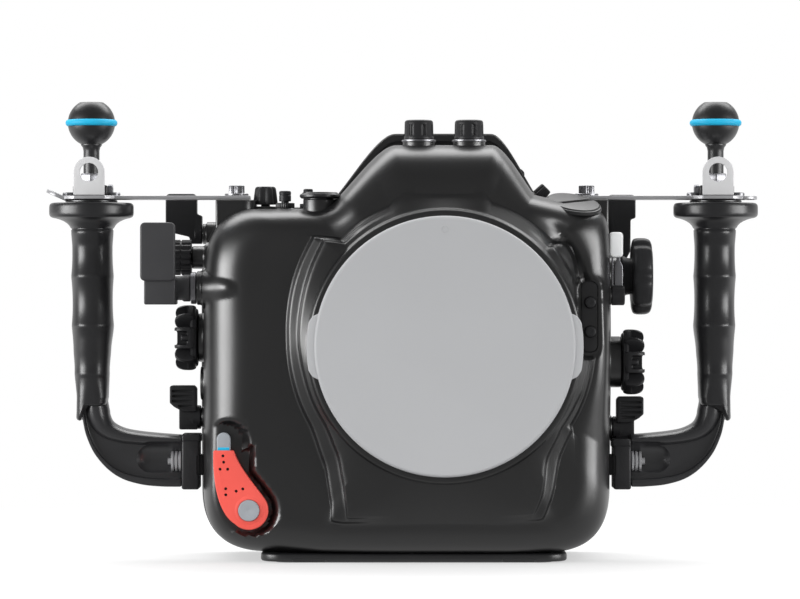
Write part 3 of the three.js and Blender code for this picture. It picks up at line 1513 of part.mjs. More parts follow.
function addTopFittings() {
  const p = plug;
  const plugStem = bar("z", p.stem, -p.sunk, fit.overlap);
  const [slotLow, slotTop] = [p.thickness - p.slotDepth, p.thickness + fit.overrun];
  const coinSlot = block(-p.radius * 2, p.radius * 2, -p.slot, p.slot, slotLow, slotTop);
  const small = join(flatPlate(scalloped(p.radius, p.scallop, p.count), p.thickness), plugStem);
  const leftZ = shoulderZ + p.left.rise + fit.gap;
  place(housing, "plug_left", cut(small, coinSlot), "anodised", [port.x + p.left.x, p.left.y, leftZ]);
  const wide = p.right.radius;
  const wideLine = [
    [0, 0],
    [wide - p.edge, 0],
    [wide, p.edge],
    [wide, p.thickness - p.edge],
    [wide - p.edge, p.thickness],
    [0, p.thickness],
  ];
  const large = cut(join(turned("z", wideLine, sides.fine), plugStem), coinSlot);
  place(housing, "plug_right", tiltedPlug(geometryOf(large.translate([0, 0, fit.gap]))), "anodised");
  const k = bulkhead;
  const capLine = [
    [0, 0],
    [k.radius, 0],
    [0.94 * k.radius, k.height - k.edge],
    [0.86 * k.radius, k.height],
    [0, k.height],
  ];
  const capBody = join(turned("z", capLine, sides.fine), bar("z", k.stem, -k.sunk, fit.overlap, sides.small));
  const capZ = crownZ + k.ringRise + fit.gap;
  place(housing, "bulkhead_cap_left", capBody, "anodised", [port.x - k.spread, k.y, capZ]);
  place(housing, "bulkhead_cap_right", capBody, "anodised", [port.x + k.spread, k.y, capZ]);
  const t = topDial;
  const on = topControls.dial;
  const dialParts = [
    bar("z", t.radius - t.lobe, 0, t.height),
    bar("z", on.shaft, -on.rise - shell.wall - fit.overlap, fit.overlap, sides.tiny),
  ];
  for (let i = 0; i < t.count; i++) {
    const a = (i * 2 * Math.PI) / t.count;
    const far = t.radius - t.lobe;
    const lobe = bar("z", t.lobe, 0, t.height - t.crown, sides.tiny);
    dialParts.push(lobe.translate(far * Math.cos(a), far * Math.sin(a), 0));
  }
  const dialZ = shoulderZ + on.rise + fit.gap;
  place(housing, "top_dial", join(...dialParts), "plastic", [port.x + on.x, on.y, dialZ]);
  const topButtons = { top_button_front: topControls.buttonA, top_button_rear: topControls.buttonB };
  for (const [name, c] of Object.entries(topButtons)) {
    const stem = bar("z", c.shaft, -c.rise - shell.wall - fit.overlap, fit.overlap, sides.tiny);
    const button = join(turned("z", buttonProfile(c.head, c.height, topButtonEdge)), stem);
    const z = shoulderZ + c.rise + fit.gap + buttonTravel;
    place(housing, name, button, "plastic", [port.x + c.x, c.y, z]);
  }
  const b = slopeButton;
  const slopeStem = bar("z", b.shaft, -slope.bossLength - fit.overlap, fit.overlap, sides.tiny);
  const body = join(turned("z", buttonProfile(b.radius, b.height, b.edge)), slopeStem);
  const raised = geometryOf(body.translate([0, 0, fit.gap + buttonTravel]));
  place(housing, "slope_button", onSlope(raised), "plastic");
}

function addSide(side) {
  const key = side < 0 ? "left" : "right";
  const group = new THREE.Group();
  group.position.x = wallOf(side);
  group.scale.x = side;
  housing.add(group);
  const axis = handle.standoff[key];
  place(group, `handle_core_${key}`, handleCore(side, axis), "anodised");
  place(group, `grip_${key}`, gripLoft(axis), "rubber");
  place(group, `handle_bracket_${key}`, handleBracket(side), "anodised");
  place(group, `arm_bolt_${key}`, armScrew(), "steel");
  place(group, `top_strip_${key}`, topStrip(side, axis), "steel");
  const stripTop = stripZ + strip.thickness;
  place(group, `strip_screw_${key}`, thumbScrew(), "steel", [-ear[key].screw, ear.y, stripTop]);
  place(group, `ball_mount_${key}`, ballMount(), "anodised", [axis, handle.y, stripTop + fit.gap]);
  const ringRadius = ball.radius - ball.groove + fit.gap + ballRing.section;
  const ring = turned("z", torus(ringRadius, ballRing.section, 6), sides.round);
  const ballZ = stripTop + fit.gap + ball.blockHeight + ball.rise;
  place(group, `ball_oring_${key}`, ring, "cyan", [axis, handle.y, ballZ]);
  const seat = (name, source, control, material = "plastic") => {
    place(group, name, source, material, [control.reach, control.y, heightOf(control)]);
  };
  const on = { ...sideControls, ...rearControls };
  if (side < 0) {
    seat("control_knob_left", lobedKnob(on.leftKnob.reach), on.leftKnob);
    seat("command_dial", sideDial(on.dial.reach), on.dial);
    seat("shutter_bush", shutterBush(), on.shutter, "steel");
    seat("shutter_lever", shutterLever(on.shutter.reach), on.shutter);
    seat("latch_left", latchLever(on.leftLatch.reach), on.leftLatch);
    seat("thumb_lever_left", thumbLever(thumb.left, on.leftThumb.reach), on.leftThumb);
    return;
  }
  seat("control_knob_right", lobedKnob(on.rightKnob.reach), on.rightKnob);
  seat("focus_knob", focusWheel(on.focus.reach), on.focus);
  seat("focus_gear", driveGear(on.focus.reach), on.focus);
  seat("lens_lever", lensLever(on.lensLever.reach), on.lensLever);
  seat("latch_right", latchLever(on.rightLatch.reach), on.rightLatch);
  seat("thumb_lever_right", thumbLever(thumb.right, on.rightThumb.reach), on.rightThumb);
}

addShells();
addPort();
addRear();
addFrontFittings();
addTopFittings();
addSide(-1);
addSide(1);

export default housing;
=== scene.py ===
# Underwater camera housing on a white floor, dressed over its frame.
# Sizes in millimetres unless a name says otherwise.
import json
import math

import bpy
from mathutils import Matrix, Vector


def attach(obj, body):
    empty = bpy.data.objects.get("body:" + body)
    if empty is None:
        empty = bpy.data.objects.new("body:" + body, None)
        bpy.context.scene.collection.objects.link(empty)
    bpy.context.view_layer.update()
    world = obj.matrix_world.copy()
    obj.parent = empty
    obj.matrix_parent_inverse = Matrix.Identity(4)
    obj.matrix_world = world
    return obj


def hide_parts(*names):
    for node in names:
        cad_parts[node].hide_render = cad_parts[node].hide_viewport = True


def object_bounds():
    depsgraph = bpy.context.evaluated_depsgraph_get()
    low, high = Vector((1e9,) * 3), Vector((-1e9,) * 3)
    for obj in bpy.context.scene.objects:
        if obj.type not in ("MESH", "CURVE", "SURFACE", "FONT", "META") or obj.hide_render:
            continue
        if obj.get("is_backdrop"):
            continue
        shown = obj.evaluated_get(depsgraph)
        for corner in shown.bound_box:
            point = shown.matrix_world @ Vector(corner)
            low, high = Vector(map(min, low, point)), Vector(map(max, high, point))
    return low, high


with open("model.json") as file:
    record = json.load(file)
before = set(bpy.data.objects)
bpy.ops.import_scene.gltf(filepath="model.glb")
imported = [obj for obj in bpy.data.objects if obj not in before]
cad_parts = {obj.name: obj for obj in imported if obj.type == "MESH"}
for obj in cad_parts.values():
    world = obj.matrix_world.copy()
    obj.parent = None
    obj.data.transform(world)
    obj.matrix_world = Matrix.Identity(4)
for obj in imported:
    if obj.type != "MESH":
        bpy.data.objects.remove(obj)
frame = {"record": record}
cadLow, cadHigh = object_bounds()

mm = 0.001
bodyOf = {node: body for body, nodes in frame["record"]["behaviour"]["bodies"].items() for node in nodes}
axisUnit = {"x": Vector((1, 0, 0)), "y": Vector((0, 1, 0)), "z": Vector((0, 0, 1))}
sideName = {-1: "Left", 1: "Right"}
axisTurn = {"x": (0, math.pi / 2, 0), "y": (-math.pi / 2, 0, 0), "z": (0, 0, 0)}


# ---- small tools
def deselect():
    if bpy.context.object and bpy.context.object.mode != "OBJECT":
        bpy.ops.object.mode_set(mode="OBJECT")
    bpy.ops.object.select_all(action="DESELECT")


def pick(obj):
    deselect()
    obj.select_set(True)
    bpy.context.view_layer.objects.active = obj
    return obj


def settle(obj):
    pick(obj)
    bpy.ops.object.transform_apply(location=True, rotation=True, scale=True)
    return obj


def applyModifier(obj, kind, **settings):
    pick(obj)
    modifier = obj.modifiers.new(kind.title(), kind)
    for key, value in settings.items():
        setattr(modifier, key, value)
    bpy.ops.object.modifier_apply(modifier=modifier.name)
    return obj


def softenEdges(obj, width, segments=3, angle=30):
    return applyModifier(obj, "BEVEL", width=width * mm, segments=segments, limit_method="ANGLE",
                         angle_limit=math.radians(angle), use_clamp_overlap=True)


def cleanUp(obj):
    pick(obj)
    bpy.ops.object.mode_set(mode="EDIT")
    bpy.ops.mesh.select_all(action="SELECT")
    bpy.ops.mesh.remove_doubles(threshold=1e-6)
    bpy.ops.mesh.normals_make_consistent(inside=False)
    bpy.ops.object.mode_set(mode="OBJECT")
    return obj


def meshObject(name, points, faces, edges=()):
    mesh = bpy.data.meshes.new(name)
    mesh.from_pydata([Vector(p) * mm for p in points], list(edges), faces)
    obj = bpy.data.objects.new(name, mesh)
    bpy.context.scene.collection.objects.link(obj)
    return obj


def bar(axis, radius, start, end, at=(0, 0, 0), sides=40, edge=0, segments=3):
    deselect()
    centre = Vector(at) + axisUnit[axis] * ((start + end) / 2)
    bpy.ops.mesh.primitive_cylinder_add(vertices=sides, radius=radius * mm, depth=(end - start) * mm,
                                        location=centre * mm, rotation=axisTurn[axis])
    obj = settle(bpy.context.object)
    return softenEdges(obj, edge, segments) if edge else obj


def block(x, y, z, edge=0, segments=3):
    deselect()
    bpy.ops.mesh.primitive_cube_add(size=1, location=Vector([sum(s) / 2 for s in (x, y, z)]) * mm)
    obj = bpy.context.object
    obj.scale = [(s[1] - s[0]) * mm for s in (x, y, z)]
    settle(obj)
    return softenEdges(obj, edge, segments) if edge else obj


# A profile of radius and place along the axis, spun round it
def turned(axis, profile, at=(0, 0, 0), sides=64):
    obj = meshObject("turned", [(r, 0, t) for r, t in profile], [],
                     [(i, i + 1) for i in range(len(profile) - 1)])
    pick(obj)
    bpy.ops.object.mode_set(mode="EDIT")
    bpy.ops.mesh.select_all(action="SELECT")
    bpy.ops.mesh.spin(steps=sides, angle=math.tau, center=(0, 0, 0), axis=(0, 0, 1))
    bpy.ops.object.mode_set(mode="OBJECT")
    cleanUp(obj)
    obj.rotation_euler = axisTurn[axis]
    obj.location = Vector(at) * mm
    return settle(obj)


def ring(axis, radius, section, at=(0, 0, 0), sides=72, facets=12, squash=1.0):
    deselect()
    bpy.ops.mesh.primitive_torus_add(major_radius=radius * mm, minor_radius=section * mm, major_segments=sides,
                                     minor_segments=facets, location=Vector(at) * mm, rotation=axisTurn[axis])
    obj = bpy.context.object
    obj.scale = (1, 1, squash)
    return settle(obj)


# A flat outline given thickness along the axis that it faces
def plate(facing, outline, start, end, edge=0, segments=3, angle=30):
    place = {"y": lambda u, v: (u, start, v), "x": lambda u, v: (start, u, v),
             "z": lambda u, v: (u, v, start)}[facing]
    obj = meshObject("plate", [place(u, v) for u, v in outline], [list(range(len(outline)))])
    pick(obj)
    bpy.ops.object.mode_set(mode="EDIT")
    bpy.ops.mesh.select_all(action="SELECT")
    bpy.ops.mesh.extrude_region_move(TRANSFORM_OT_translate={"value": axisUnit[facing] * ((end - start) * mm)})
    bpy.ops.object.mode_set(mode="OBJECT")
    cleanUp(obj)
    return softenEdges(obj, edge, segments, angle) if edge else obj


# Points on an arc between two angles in degrees
def arc(centre, radius, first, last, steps):
    turns = [math.radians(first + (last - first) * i / steps) for i in range(steps + 1)]
    return [(centre[0] + radius * math.cos(a), centre[1] + radius * math.sin(a)) for a in turns]


# Both ends of a span along X, mirrored for the left side
def span(side, start, end):
    return sorted((side * start, side * end))


def roundedOutline(width, height, corner, at=(0, 0), steps=6):
    points = []
    for cx, cy, first in ((1, 1, 0), (-1, 1, 90), (-1, -1, 180), (1, -1, 270)):
        centre = (at[0] + cx * (width / 2 - corner), at[1] + cy * (height / 2 - corner))
        points += arc(centre, corner, first, first + 90, steps)
    return points


def wavyOutline(radius, depth, count, at=(0, 0), steps=8, power=1.0):
    points = []
    for i in range(count * steps):
        a = math.tau * i / (count * steps)
        wave = (0.5 + 0.5 * math.cos(count * a)) ** power
        r = radius - depth * (1 - wave)
        points.append((at[0] + r * math.cos(a), at[1] + r * math.sin(a)))
    return points


# A smooth line through the points
def smoothLine(points, steps=8, closed=True):
    n, out = len(points), []
    spans = n if closed else n - 1
    for i in range(spans):
        p = [points[(i + k) % n if closed else max(0, min(n - 1, i + k))] for k in (-1, 0, 1, 2)]
        for s in range(steps):
            t = s / steps
            out.append(tuple(0.5 * (2 * b + (c - a) * t + (2 * a - 5 * b + 4 * c - d) * t * t
                                    + (3 * b - a - 3 * c + d) * t ** 3) for a, b, c, d in zip(*p)))
    return out if closed else out + [tuple(points[-1])]


# A closed skin over rings of points
def skin(rings):
    n, faces = len(rings[0]), []
    for i in range(len(rings) - 1):
        for j in range(n):
            k = (j + 1) % n
            faces.append((i * n + j, i * n + k, (i + 1) * n + k, (i + 1) * n + j))
    faces += [list(range(n))[::-1], [(len(rings) - 1) * n + j for j in range(n)]]
    return cleanUp(meshObject("skin", [p for r in rings for p in r], faces))


def moved(obj, matrix):
    obj.data.transform(matrix)
    if matrix.determinant() < 0:
        obj.data.flip_normals()
    return obj


def copyOf(obj, matrix=None):
    twin = obj.copy()
    twin.data = obj.data.copy()
    bpy.context.scene.collection.objects.link(twin)
    return moved(twin, matrix) if matrix else twin


def shift(x=0, y=0, z=0):
    return Matrix.Translation(Vector((x, y, z)) * mm)


def turnAbout(point, axis, degrees):
    p = Vector(point) * mm
    return Matrix.Translation(p) @ Matrix.Rotation(math.radians(degrees), 4, axis) @ Matrix.Translation(-p)


def gather(*parts):
    pick(parts[0])
    for part in parts[1:]:
        part.select_set(True)
    if len(parts) > 1:
        bpy.ops.object.join()
    return bpy.context.object


def combine(obj, others, operation):
    for other in others:
        pick(obj)
        modifier = obj.modifiers.new("Combine", "BOOLEAN")
        modifier.operation, modifier.solver, modifier.object = operation, "MANIFOLD", other
        bpy.ops.object.modifier_apply(modifier=modifier.name)
        bpy.data.objects.remove(other, do_unlink=True)
    return obj


def fuse(obj, *others):
    return combine(obj, others, "UNION")


def carve(obj, *others):
    return combine(obj, others, "DIFFERENCE")


# Names a piece, shades it, gives it its material and ties it to its body
def finishPiece(obj, name, material, node=None, body=None, angle=35):
    pick(obj)
    obj.name = obj.data.name = name
    bpy.ops.object.shade_smooth_by_angle(angle=math.radians(angle))
    obj.data.materials.clear()
    obj.data.materials.append(material)
    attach(obj, body or bodyOf[node])
    if node:
        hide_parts(node)
    return obj


# A small steel fitting that no solid of the part stands for
def finishFitting(obj, name, material="steelTurned", angle=35):
    return finishPiece(obj, name, look[material], body="housing", angle=angle)


# ---- finishes
def linear(code):
    parts = [int(code[i:i + 2], 16) / 255 for i in (1, 3, 5)]
    return [c / 12.92 if c <= 0.04045 else ((c + 0.055) / 1.055) ** 2.4 for c in parts] + [1.0]


def addNode(tree, kind, settings=None, inputs=None):
    node = tree.nodes.new(kind)
    for key, value in (settings or {}).items():
        setattr(node, key, value)
    for key, value in (inputs or {}).items():
        if isinstance(value, bpy.types.NodeSocket):
            tree.links.new(value, node.inputs[key])
        else:
            node.inputs[key].default_value = value
    return node


# A finish whose grain and cloud sizes are real sizes in mm: grain lifts the surface, the cloud shifts
# roughness by swing and colour from one hex value to the other
def surface(name, colour, second, roughness, swing, grain, lift, metallic=0.0, stretch=(1, 1, 1), cloud=30,
            **sockets):
    made = bpy.data.materials.new(name)
    made.use_nodes = True
    tree = made.node_tree
    shader = tree.nodes["Principled BSDF"]
    place = addNode(tree, "ShaderNodeTexCoord").outputs["Object"]
    spread = addNode(tree, "ShaderNodeMapping", inputs={"Vector": place, "Scale": stretch})
    fine = addNode(tree, "ShaderNodeTexNoise",
                   inputs={"Vector": spread.outputs["Vector"], "Scale": 1000 / grain, "Detail": 3})
    broad = addNode(tree, "ShaderNodeTexNoise", inputs={"Vector": place, "Scale": 1000 / cloud, "Detail": 4})
    blend = addNode(tree, "ShaderNodeMath", {"operation": "MULTIPLY_ADD"},
                    {0: fine.outputs["Fac"], 1: 0.5, 2: broad.outputs["Fac"]})
    level = addNode(tree, "ShaderNodeMapRange",
                    inputs={"Value": blend.outputs[0], "From Min": 0.35, "From Max": 1.1,
                            "To Min": roughness - swing, "To Max": roughness + swing})
    tint = addNode(tree, "ShaderNodeMix", {"data_type": "RGBA"}, {"Factor": broad.outputs["Fac"]})
    tint.inputs["A"].default_value, tint.inputs["B"].default_value = linear(colour), linear(second)
    bump = addNode(tree, "ShaderNodeBump", inputs={"Height": fine.outputs["Fac"], "Distance": lift * mm,
                                                   "Strength": 0.6})
    tree.links.new(tint.outputs["Result"], shader.inputs["Base Color"])
    tree.links.new(level.outputs["Result"], shader.inputs["Roughness"])
    tree.links.new(bump.outputs["Normal"], shader.inputs["Normal"])
    shader.inputs["Metallic"].default_value = metallic
    for key, value in sockets.items():
        shader.inputs[key.replace("_", " ")].default_value = value
    return made


look = {
    # Hard anodised aluminium, bead blasted: a black that carries broad, soft lights
    "anodised": surface("anodisedAluminium", "#0d0d0e", "#101011", 0.33, 0.03, 0.7, 0.01, cloud=45, IOR=2.0),
    "anodisedFine": surface("anodisedMachined", "#141416", "#19191b", 0.38, 0.04, 0.9, 0.008, cloud=20,
                            IOR=1.8),
    # Cast arms: the same black, a shade greyer
    "arm": surface("castArm", "#262628", "#2c2c2e", 0.3, 0.03, 0.7, 0.01, cloud=30, IOR=1.85),
    # Moulded glass-filled nylon of the knobs: a little duller and rougher than the metal
    "nylon": surface("mouldedNylon", "#222224", "#28282a", 0.42, 0.05, 0.8, 0.02, cloud=12),
    # Greyer moulding of the shutter lever
    "leverGrey": surface("greyNylon", "#3a3a3c", "#414143", 0.45, 0.05, 0.8, 0.02, cloud=15),
    # Overmoulded rubber of the grips: satin, with a fine eroded texture
    "rubber": surface("gripRubber", "#1c1c1e", "#212123", 0.34, 0.04, 0.6, 0.015, cloud=25, IOR=1.75),
    # Moulded ABS cap: pale grey, spark-eroded skin
    "capGrey": surface("mouldedGreyABS", "#b4b5b7", "#b9babc", 0.52, 0.05, 0.7, 0.02, cloud=60),
    "catchGrey": surface("greyAcetal", "#9ca1a7", "#a6abb0", 0.45, 0.05, 0.6, 0.01, cloud=10),
    "padGrey": surface("paleGreyNylon", "#f4f5f6", "#f9fafa", 0.5, 0.05, 0.6, 0.02, cloud=12),
    "coral": surface("coralPolycarbonate", "#f8594d", "#fb6256", 0.45, 0.05, 0.5, 0.012, cloud=18),
    "cyan": surface("cyanSilicone", "#0cb2e0", "#14c0ec", 0.5, 0.04, 0.5, 0.01, cloud=8),
    "blackSeal": surface("nitrileSeal", "#0d0d0e", "#131314", 0.35, 0.06, 0.5, 0.01, cloud=9),
    # Stainless steel: brushed sheet with long scratches along X, satin lugs, and turned screws
    "steel": surface("brushedStainless", "#bcbcbf", "#c8c8ca", 0.38, 0.05, 0.8, 0.004, 0.6, (0.06, 1, 1),
                     cloud=14),
    "steelLug": surface("satinStainless", "#dadadb", "#e2e2e3", 0.5, 0.05, 0.8, 0.004, 0.15, (0.06, 1, 1),
                        cloud=14),
    "steelTurned": surface("turnedStainless", "#8f8f93", "#a0a0a3", 0.3, 0.05, 0.8, 0.003, 0.85, cloud=4),
    "shadow": surface("shadowedHole", "#09090a", "#0c0c0d", 0.6, 0.05, 0.5, 0.01, cloud=5),
    "board": surface("lacqueredBoard", "#1b5138", "#235f43", 0.32, 0.06, 1.2, 0.03, cloud=6),
}


def clearPane(name, tint, roughness):
    made = bpy.data.materials.new(name)
    made.use_nodes = True
    tree = made.node_tree
    shader = tree.nodes["Principled BSDF"]
    place = addNode(tree, "ShaderNodeTexCoord").outputs["Object"]
    smear = addNode(tree, "ShaderNodeTexNoise", inputs={"Vector": place, "Scale": 45.0, "Detail": 5})
    level = addNode(tree, "ShaderNodeMapRange",
                    inputs={"Value": smear.outputs["Fac"], "From Min": 0.3, "From Max": 0.8,
                            "To Min": roughness, "To Max": roughness + 0.05})
    tree.links.new(level.outputs["Result"], shader.inputs["Roughness"])
    shader.inputs["Base Color"].default_value = linear(tint)
    shader.inputs["Transmission Weight"].default_value = 1.0
    shader.inputs["IOR"].default_value = 1.49
    return made


look["pane"] = clearPane("polishedAcrylic", "#eef3f4", 0.02)
print("finishes made")
bpy.context.scene.view_settings.view_transform = "Standard"


# ---- stage: camera, floor, lights
stage = {
    "pxSize": 0.54, "photoWidth": 800, "eye": (-1.9, -2000, 139.6), "sensor": 36,
    "floorGrey": "#f6f6f6", "worldSoft": 0.93, "mirrorFront": 0.12, "mirrorBack": 0.8, "floorMirror": 0.2,
    # name: place, size across and up, brightness of its face, aim
    "lamps": {
        "leftSoftbox": ((-1.25, -0.36, 0.23), (0.45, 0.42), 9, (0, 0, 0.12)),
        "leftWing": ((-1.07, -0.74, 0.23), (0.45, 0.42), 6.5, (0, 0, 0.12)),
        "rightSoftbox": ((1.25, -0.36, 0.23), (0.4, 0.42), 7, (0, 0, 0.12)),
        "rightWing": ((1.07, -0.74, 0.23), (0.45, 0.42), 5, (0, 0, 0.12)),
        "topSoftbox": ((0, 0.6, 1.25), (2.4, 0.7), 3.4, (0, 0, 0.1)),
    },
}
cameraData = bpy.data.cameras.new("photoCamera")
cameraData.sensor_width = stage["sensor"]
cameraData.lens = stage["sensor"] * -stage["eye"][1] / (stage["photoWidth"] * stage["pxSize"])
camera = bpy.data.objects.new("photoCamera", cameraData)
camera.location = Vector(stage["eye"]) * mm
camera.rotation_euler = (math.pi / 2, 0, 0)
bpy.context.scene.collection.objects.link(camera)
bpy.context.scene.camera = camera

for lampName, (place, size, bright, aim) in stage["lamps"].items():
    lamp = bpy.data.lights.new(lampName, "AREA")
    lamp.shape, lamp.size, lamp.size_y = "RECTANGLE", size[0], size[1]
    lamp.energy = bright * math.pi * size[0] * size[1]
    lampObject = bpy.data.objects.new(lampName, lamp)
    lampObject.location = place
    lampObject.rotation_euler = (Vector(aim) - Vector(place)).to_track_quat("-Z", "Y").to_euler()
    bpy.context.scene.collection.objects.link(lampObject)

# The backdrop is white where it is seen, in the picture, in metal and through glass, and dimmer round
# the camera
world = bpy.data.worlds.new("studio")
bpy.context.scene.world = world
world.use_nodes = True
tree = world.node_tree
tree.nodes.clear()
rays = addNode(tree, "ShaderNodeLightPath")
direction = addNode(tree, "ShaderNodeTexCoord")
split = addNode(tree, "ShaderNodeSeparateXYZ", inputs={0: direction.outputs["Generated"]})
mirror = addNode(tree, "ShaderNodeMapRange", {"interpolation_type": "SMOOTHSTEP"},
                 {"Value": split.outputs["Y"], "From Min": 0.05, "From Max": 1.0,
                  "To Min": stage["mirrorFront"], "To Max": stage["mirrorBack"]})
mirrored = addNode(tree, "ShaderNodeMix", {"data_type": "FLOAT"},
                   {0: rays.outputs["Is Glossy Ray"], 2: stage["worldSoft"], 3: mirror.outputs["Result"]})
through = addNode(tree, "ShaderNodeMath", {"operation": "MAXIMUM"},
                  {0: rays.outputs["Is Camera Ray"], 1: rays.outputs["Is Transmission Ray"]})
level = addNode(tree, "ShaderNodeMath", {"operation": "MAXIMUM"},
                {0: through.outputs[0], 1: mirrored.outputs[0]})
sky = addNode(tree, "ShaderNodeBackground", inputs={"Color": (1, 1, 1, 1), "Strength": level.outputs[0]})
addNode(tree, "ShaderNodeOutputWorld", inputs={"Surface": sky.outputs[0]})

# White paper that keeps the shadow near the object and runs out into the white backdrop
deselect()
bpy.ops.mesh.primitive_plane_add(size=12, location=(0, 0, 0))
floor = bpy.context.object
floor.name = "studioFloor"
white = bpy.data.materials.new("paperSweep")
white.use_nodes = True
tree = white.node_tree
tree.nodes.clear()
rays = addNode(tree, "ShaderNodeLightPath")
spot = addNode(tree, "ShaderNodeTexCoord")
side = addNode(tree, "ShaderNodeSeparateXYZ", inputs={0: spot.outputs["Object"]})
dim = addNode(tree, "ShaderNodeMapRange",
              inputs={"Value": side.outputs["Y"], "From Min": -0.1, "From Max": 0.15,
                      "To Min": stage["floorMirror"], "To Max": 1.0})
mirrored = addNode(tree, "ShaderNodeMath", {"operation": "MULTIPLY"},
                   {0: rays.outputs["Is Glossy Ray"], 1: dim.outputs["Result"]})
shown = addNode(tree, "ShaderNodeMath", {"operation": "MAXIMUM"},
                {0: rays.outputs["Is Camera Ray"], 1: mirrored.outputs[0]})
shown = addNode(tree, "ShaderNodeMath", {"operation": "MAXIMUM"},
                {0: shown.outputs[0], 1: rays.outputs["Is Transmission Ray"]})
away = addNode(tree, "ShaderNodeVectorMath", {"operation": "LENGTH"}, {0: spot.outputs["Object"]})
share = addNode(tree, "ShaderNodeMapRange", {"interpolation_type": "SMOOTHSTEP"},
                {"Value": away.outputs["Value"], "From Min": 0.22, "From Max": 0.55, "To Min": 0.5,
                 "To Max": 1.0})
paper = addNode(tree, "ShaderNodeBsdfDiffuse", inputs={"Color": linear(stage["floorGrey"])})
glow = addNode(tree, "ShaderNodeEmission", inputs={"Color": (1, 1, 1, 1), "Strength": shown.outputs[0]})
glowing = addNode(tree, "ShaderNodeMath", {"operation": "MAXIMUM"},
                  {0: share.outputs["Result"], 1: rays.outputs["Is Glossy Ray"]})
both = addNode(tree, "ShaderNodeMixShader",
               inputs={0: glowing.outputs[0], 1: paper.outputs[0], 2: glow.outputs[0]})
addNode(tree, "ShaderNodeOutputMaterial", inputs={"Surface": both.outputs[0]})
floor.data.materials.append(white)
floor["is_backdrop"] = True
print("stage set")


# ---- the shells
shell = {
    "portX": 21.6, "portZ": 115, "bore": 60, "rim": 71, "left": -107, "right": 110, "floor": 5.3,
    "shoulder": 188, "crown": 222, "rimFace": -62, "joint": 14, "depth": 76, "wall": 7, "roundRun": 27,
    "roundDepth": 31, "fullness": 0.87, "coneProud": 3, "coneFlare": 1.6, "stepRun": 2.2, "angles": 720,
    "rearFront": 14.3, "rearBack": 58.3, "rearCrown": 227, "rearGrow": 1.6, "lip": 1.2, "lipDepth": 8,
    "rearWall": 6, "rearRoundRun": 12, "rearRoundDepth": 10,
}
port = Vector((shell["portX"], 0, shell["portZ"]))

# How the front face runs in each direction from the port's axis: angle in degrees from +X towards +Z,
# shares of the rounding's run and depth and of the shell's depth, and how strong the two stepped ridges
# are there
faceShares = [
    (0, 0.55, 0.58, 0.77, 0.6), (24, 0.66, 0.62, 0.77, 0.7), (33, 0.82, 0.72, 0.77, 0.7),
    (43, 0.97, 0.88, 0.8, 0.4), (57, 1, 0.97, 0.86, 0), (75, 1, 1, 0.86, 0), (105, 1, 1, 0.86, 0),
    (122, 0.85, 0.85, 0.86, 0.3), (136, 0.8, 0.8, 0.8, 1), (152, 1, 1, 0.79, 1), (174, 1, 1, 0.79, 1),
    (209, 1, 1, 0.79, 1), (224, 1, 0.9, 0.79, 1), (234, 0.8, 0.6, 0.8, 1), (241, 0.65, 0.5, 0.82, 0.7),
    (255, 0.6, 0.5, 0.84, 0), (285, 0.6, 0.5, 0.84, 0), (298, 0.7, 0.6, 0.82, 0.5), (304, 0.8, 0.7, 0.8, 1),
    (316, 0.95, 0.85, 0.78, 1), (325, 0.9, 0.85, 0.77, 1), (334, 0.9, 0.84, 0.77, 1),
    (348, 0.68, 0.68, 0.77, 0.8),
]
# The two ridges, as angle and distance from the port's axis
outerRidge = [
    (8, 78.6), (24, 79.7), (33, 81.8), (43, 82.7), (57, 92.1), (75, 99), (105, 99), (122, 95), (136, 89.9),
    (152, 86.2), (170, 82.6), (179.4, 81.4), (194.4, 80.8), (208.6, 80.7), (223.4, 86.8), (233.7, 100.1),
    (239.3, 112.2), (255, 116), (285, 112), (297, 106), (304, 98), (316.8, 82.6), (325.5, 79.4), (334, 78.7),
    (343.6, 79.2), (352.3, 79.4),
]
innerRidge = [
    (24, 75.2), (43, 76.5), (57, 84), (75, 90), (105, 92), (124.5, 91.5), (135.8, 84.3), (149.9, 80.2),
    (165.5, 77), (177.3, 75.7), (193.7, 74), (211.5, 73.9), (224.1, 78.2), (233.2, 88), (239.4, 100),
    (242.4, 108), (255, 112), (285, 108), (296, 101), (302, 94), (312.9, 78.2), (319.5, 75.4), (326.1, 73.8),
    (334.1, 73.9), (342.9, 74.6), (354.3, 75),
]
levelShares = (0.88, 0.5, 0.4, 0.04)
shaftBore, past = 3.3, (-300, 300)  # past: beyond the housing on both sides


# Values between the listed angles, on smooth curves that don't overshoot
def valuesAt(rows, degrees):
    n = len(rows)
    degrees %= 360
    i = max((k for k in range(n) if rows[k][0] <= degrees), default=-1)
    angles = [rows[(i + k) % n][0] + 360 * ((i + k) // n) for k in (-1, 0, 1, 2)]
    gap = angles[2] - angles[1]
    t = (degrees - angles[1]) / gap
    out = []
    for c in range(1, len(rows[0])):
        v = [rows[(i + k) % n][c] for k in (-1, 0, 1, 2)]
        d = [(v[k + 1] - v[k]) / (angles[k + 1] - angles[k]) for k in range(3)]
        m = [0 if d[k] * d[k + 1] <= 0 else 2 * d[k] * d[k + 1] / (d[k] + d[k + 1]) for k in range(2)]
        h = ((1 + 2 * t) * (1 - t) ** 2, t * (1 - t) ** 2, t * t * (3 - 2 * t), t * t * (t - 1))
        out.append(h[0] * v[1] + h[1] * gap * m[0] + h[2] * v[2] + h[3] * gap * m[1])
    return out


def ease(t):
    t = max(0.0, min(1.0, t))
    return t * t * (3 - 2 * t)


# The lower of two heights, with a rounded change from one to the other
def blendLow(a, b, k):
    h = max(0.0, min(1.0, 0.5 + 0.5 * (b - a) / k))
    return b + (a - b) * h - k * h * (1 - h)


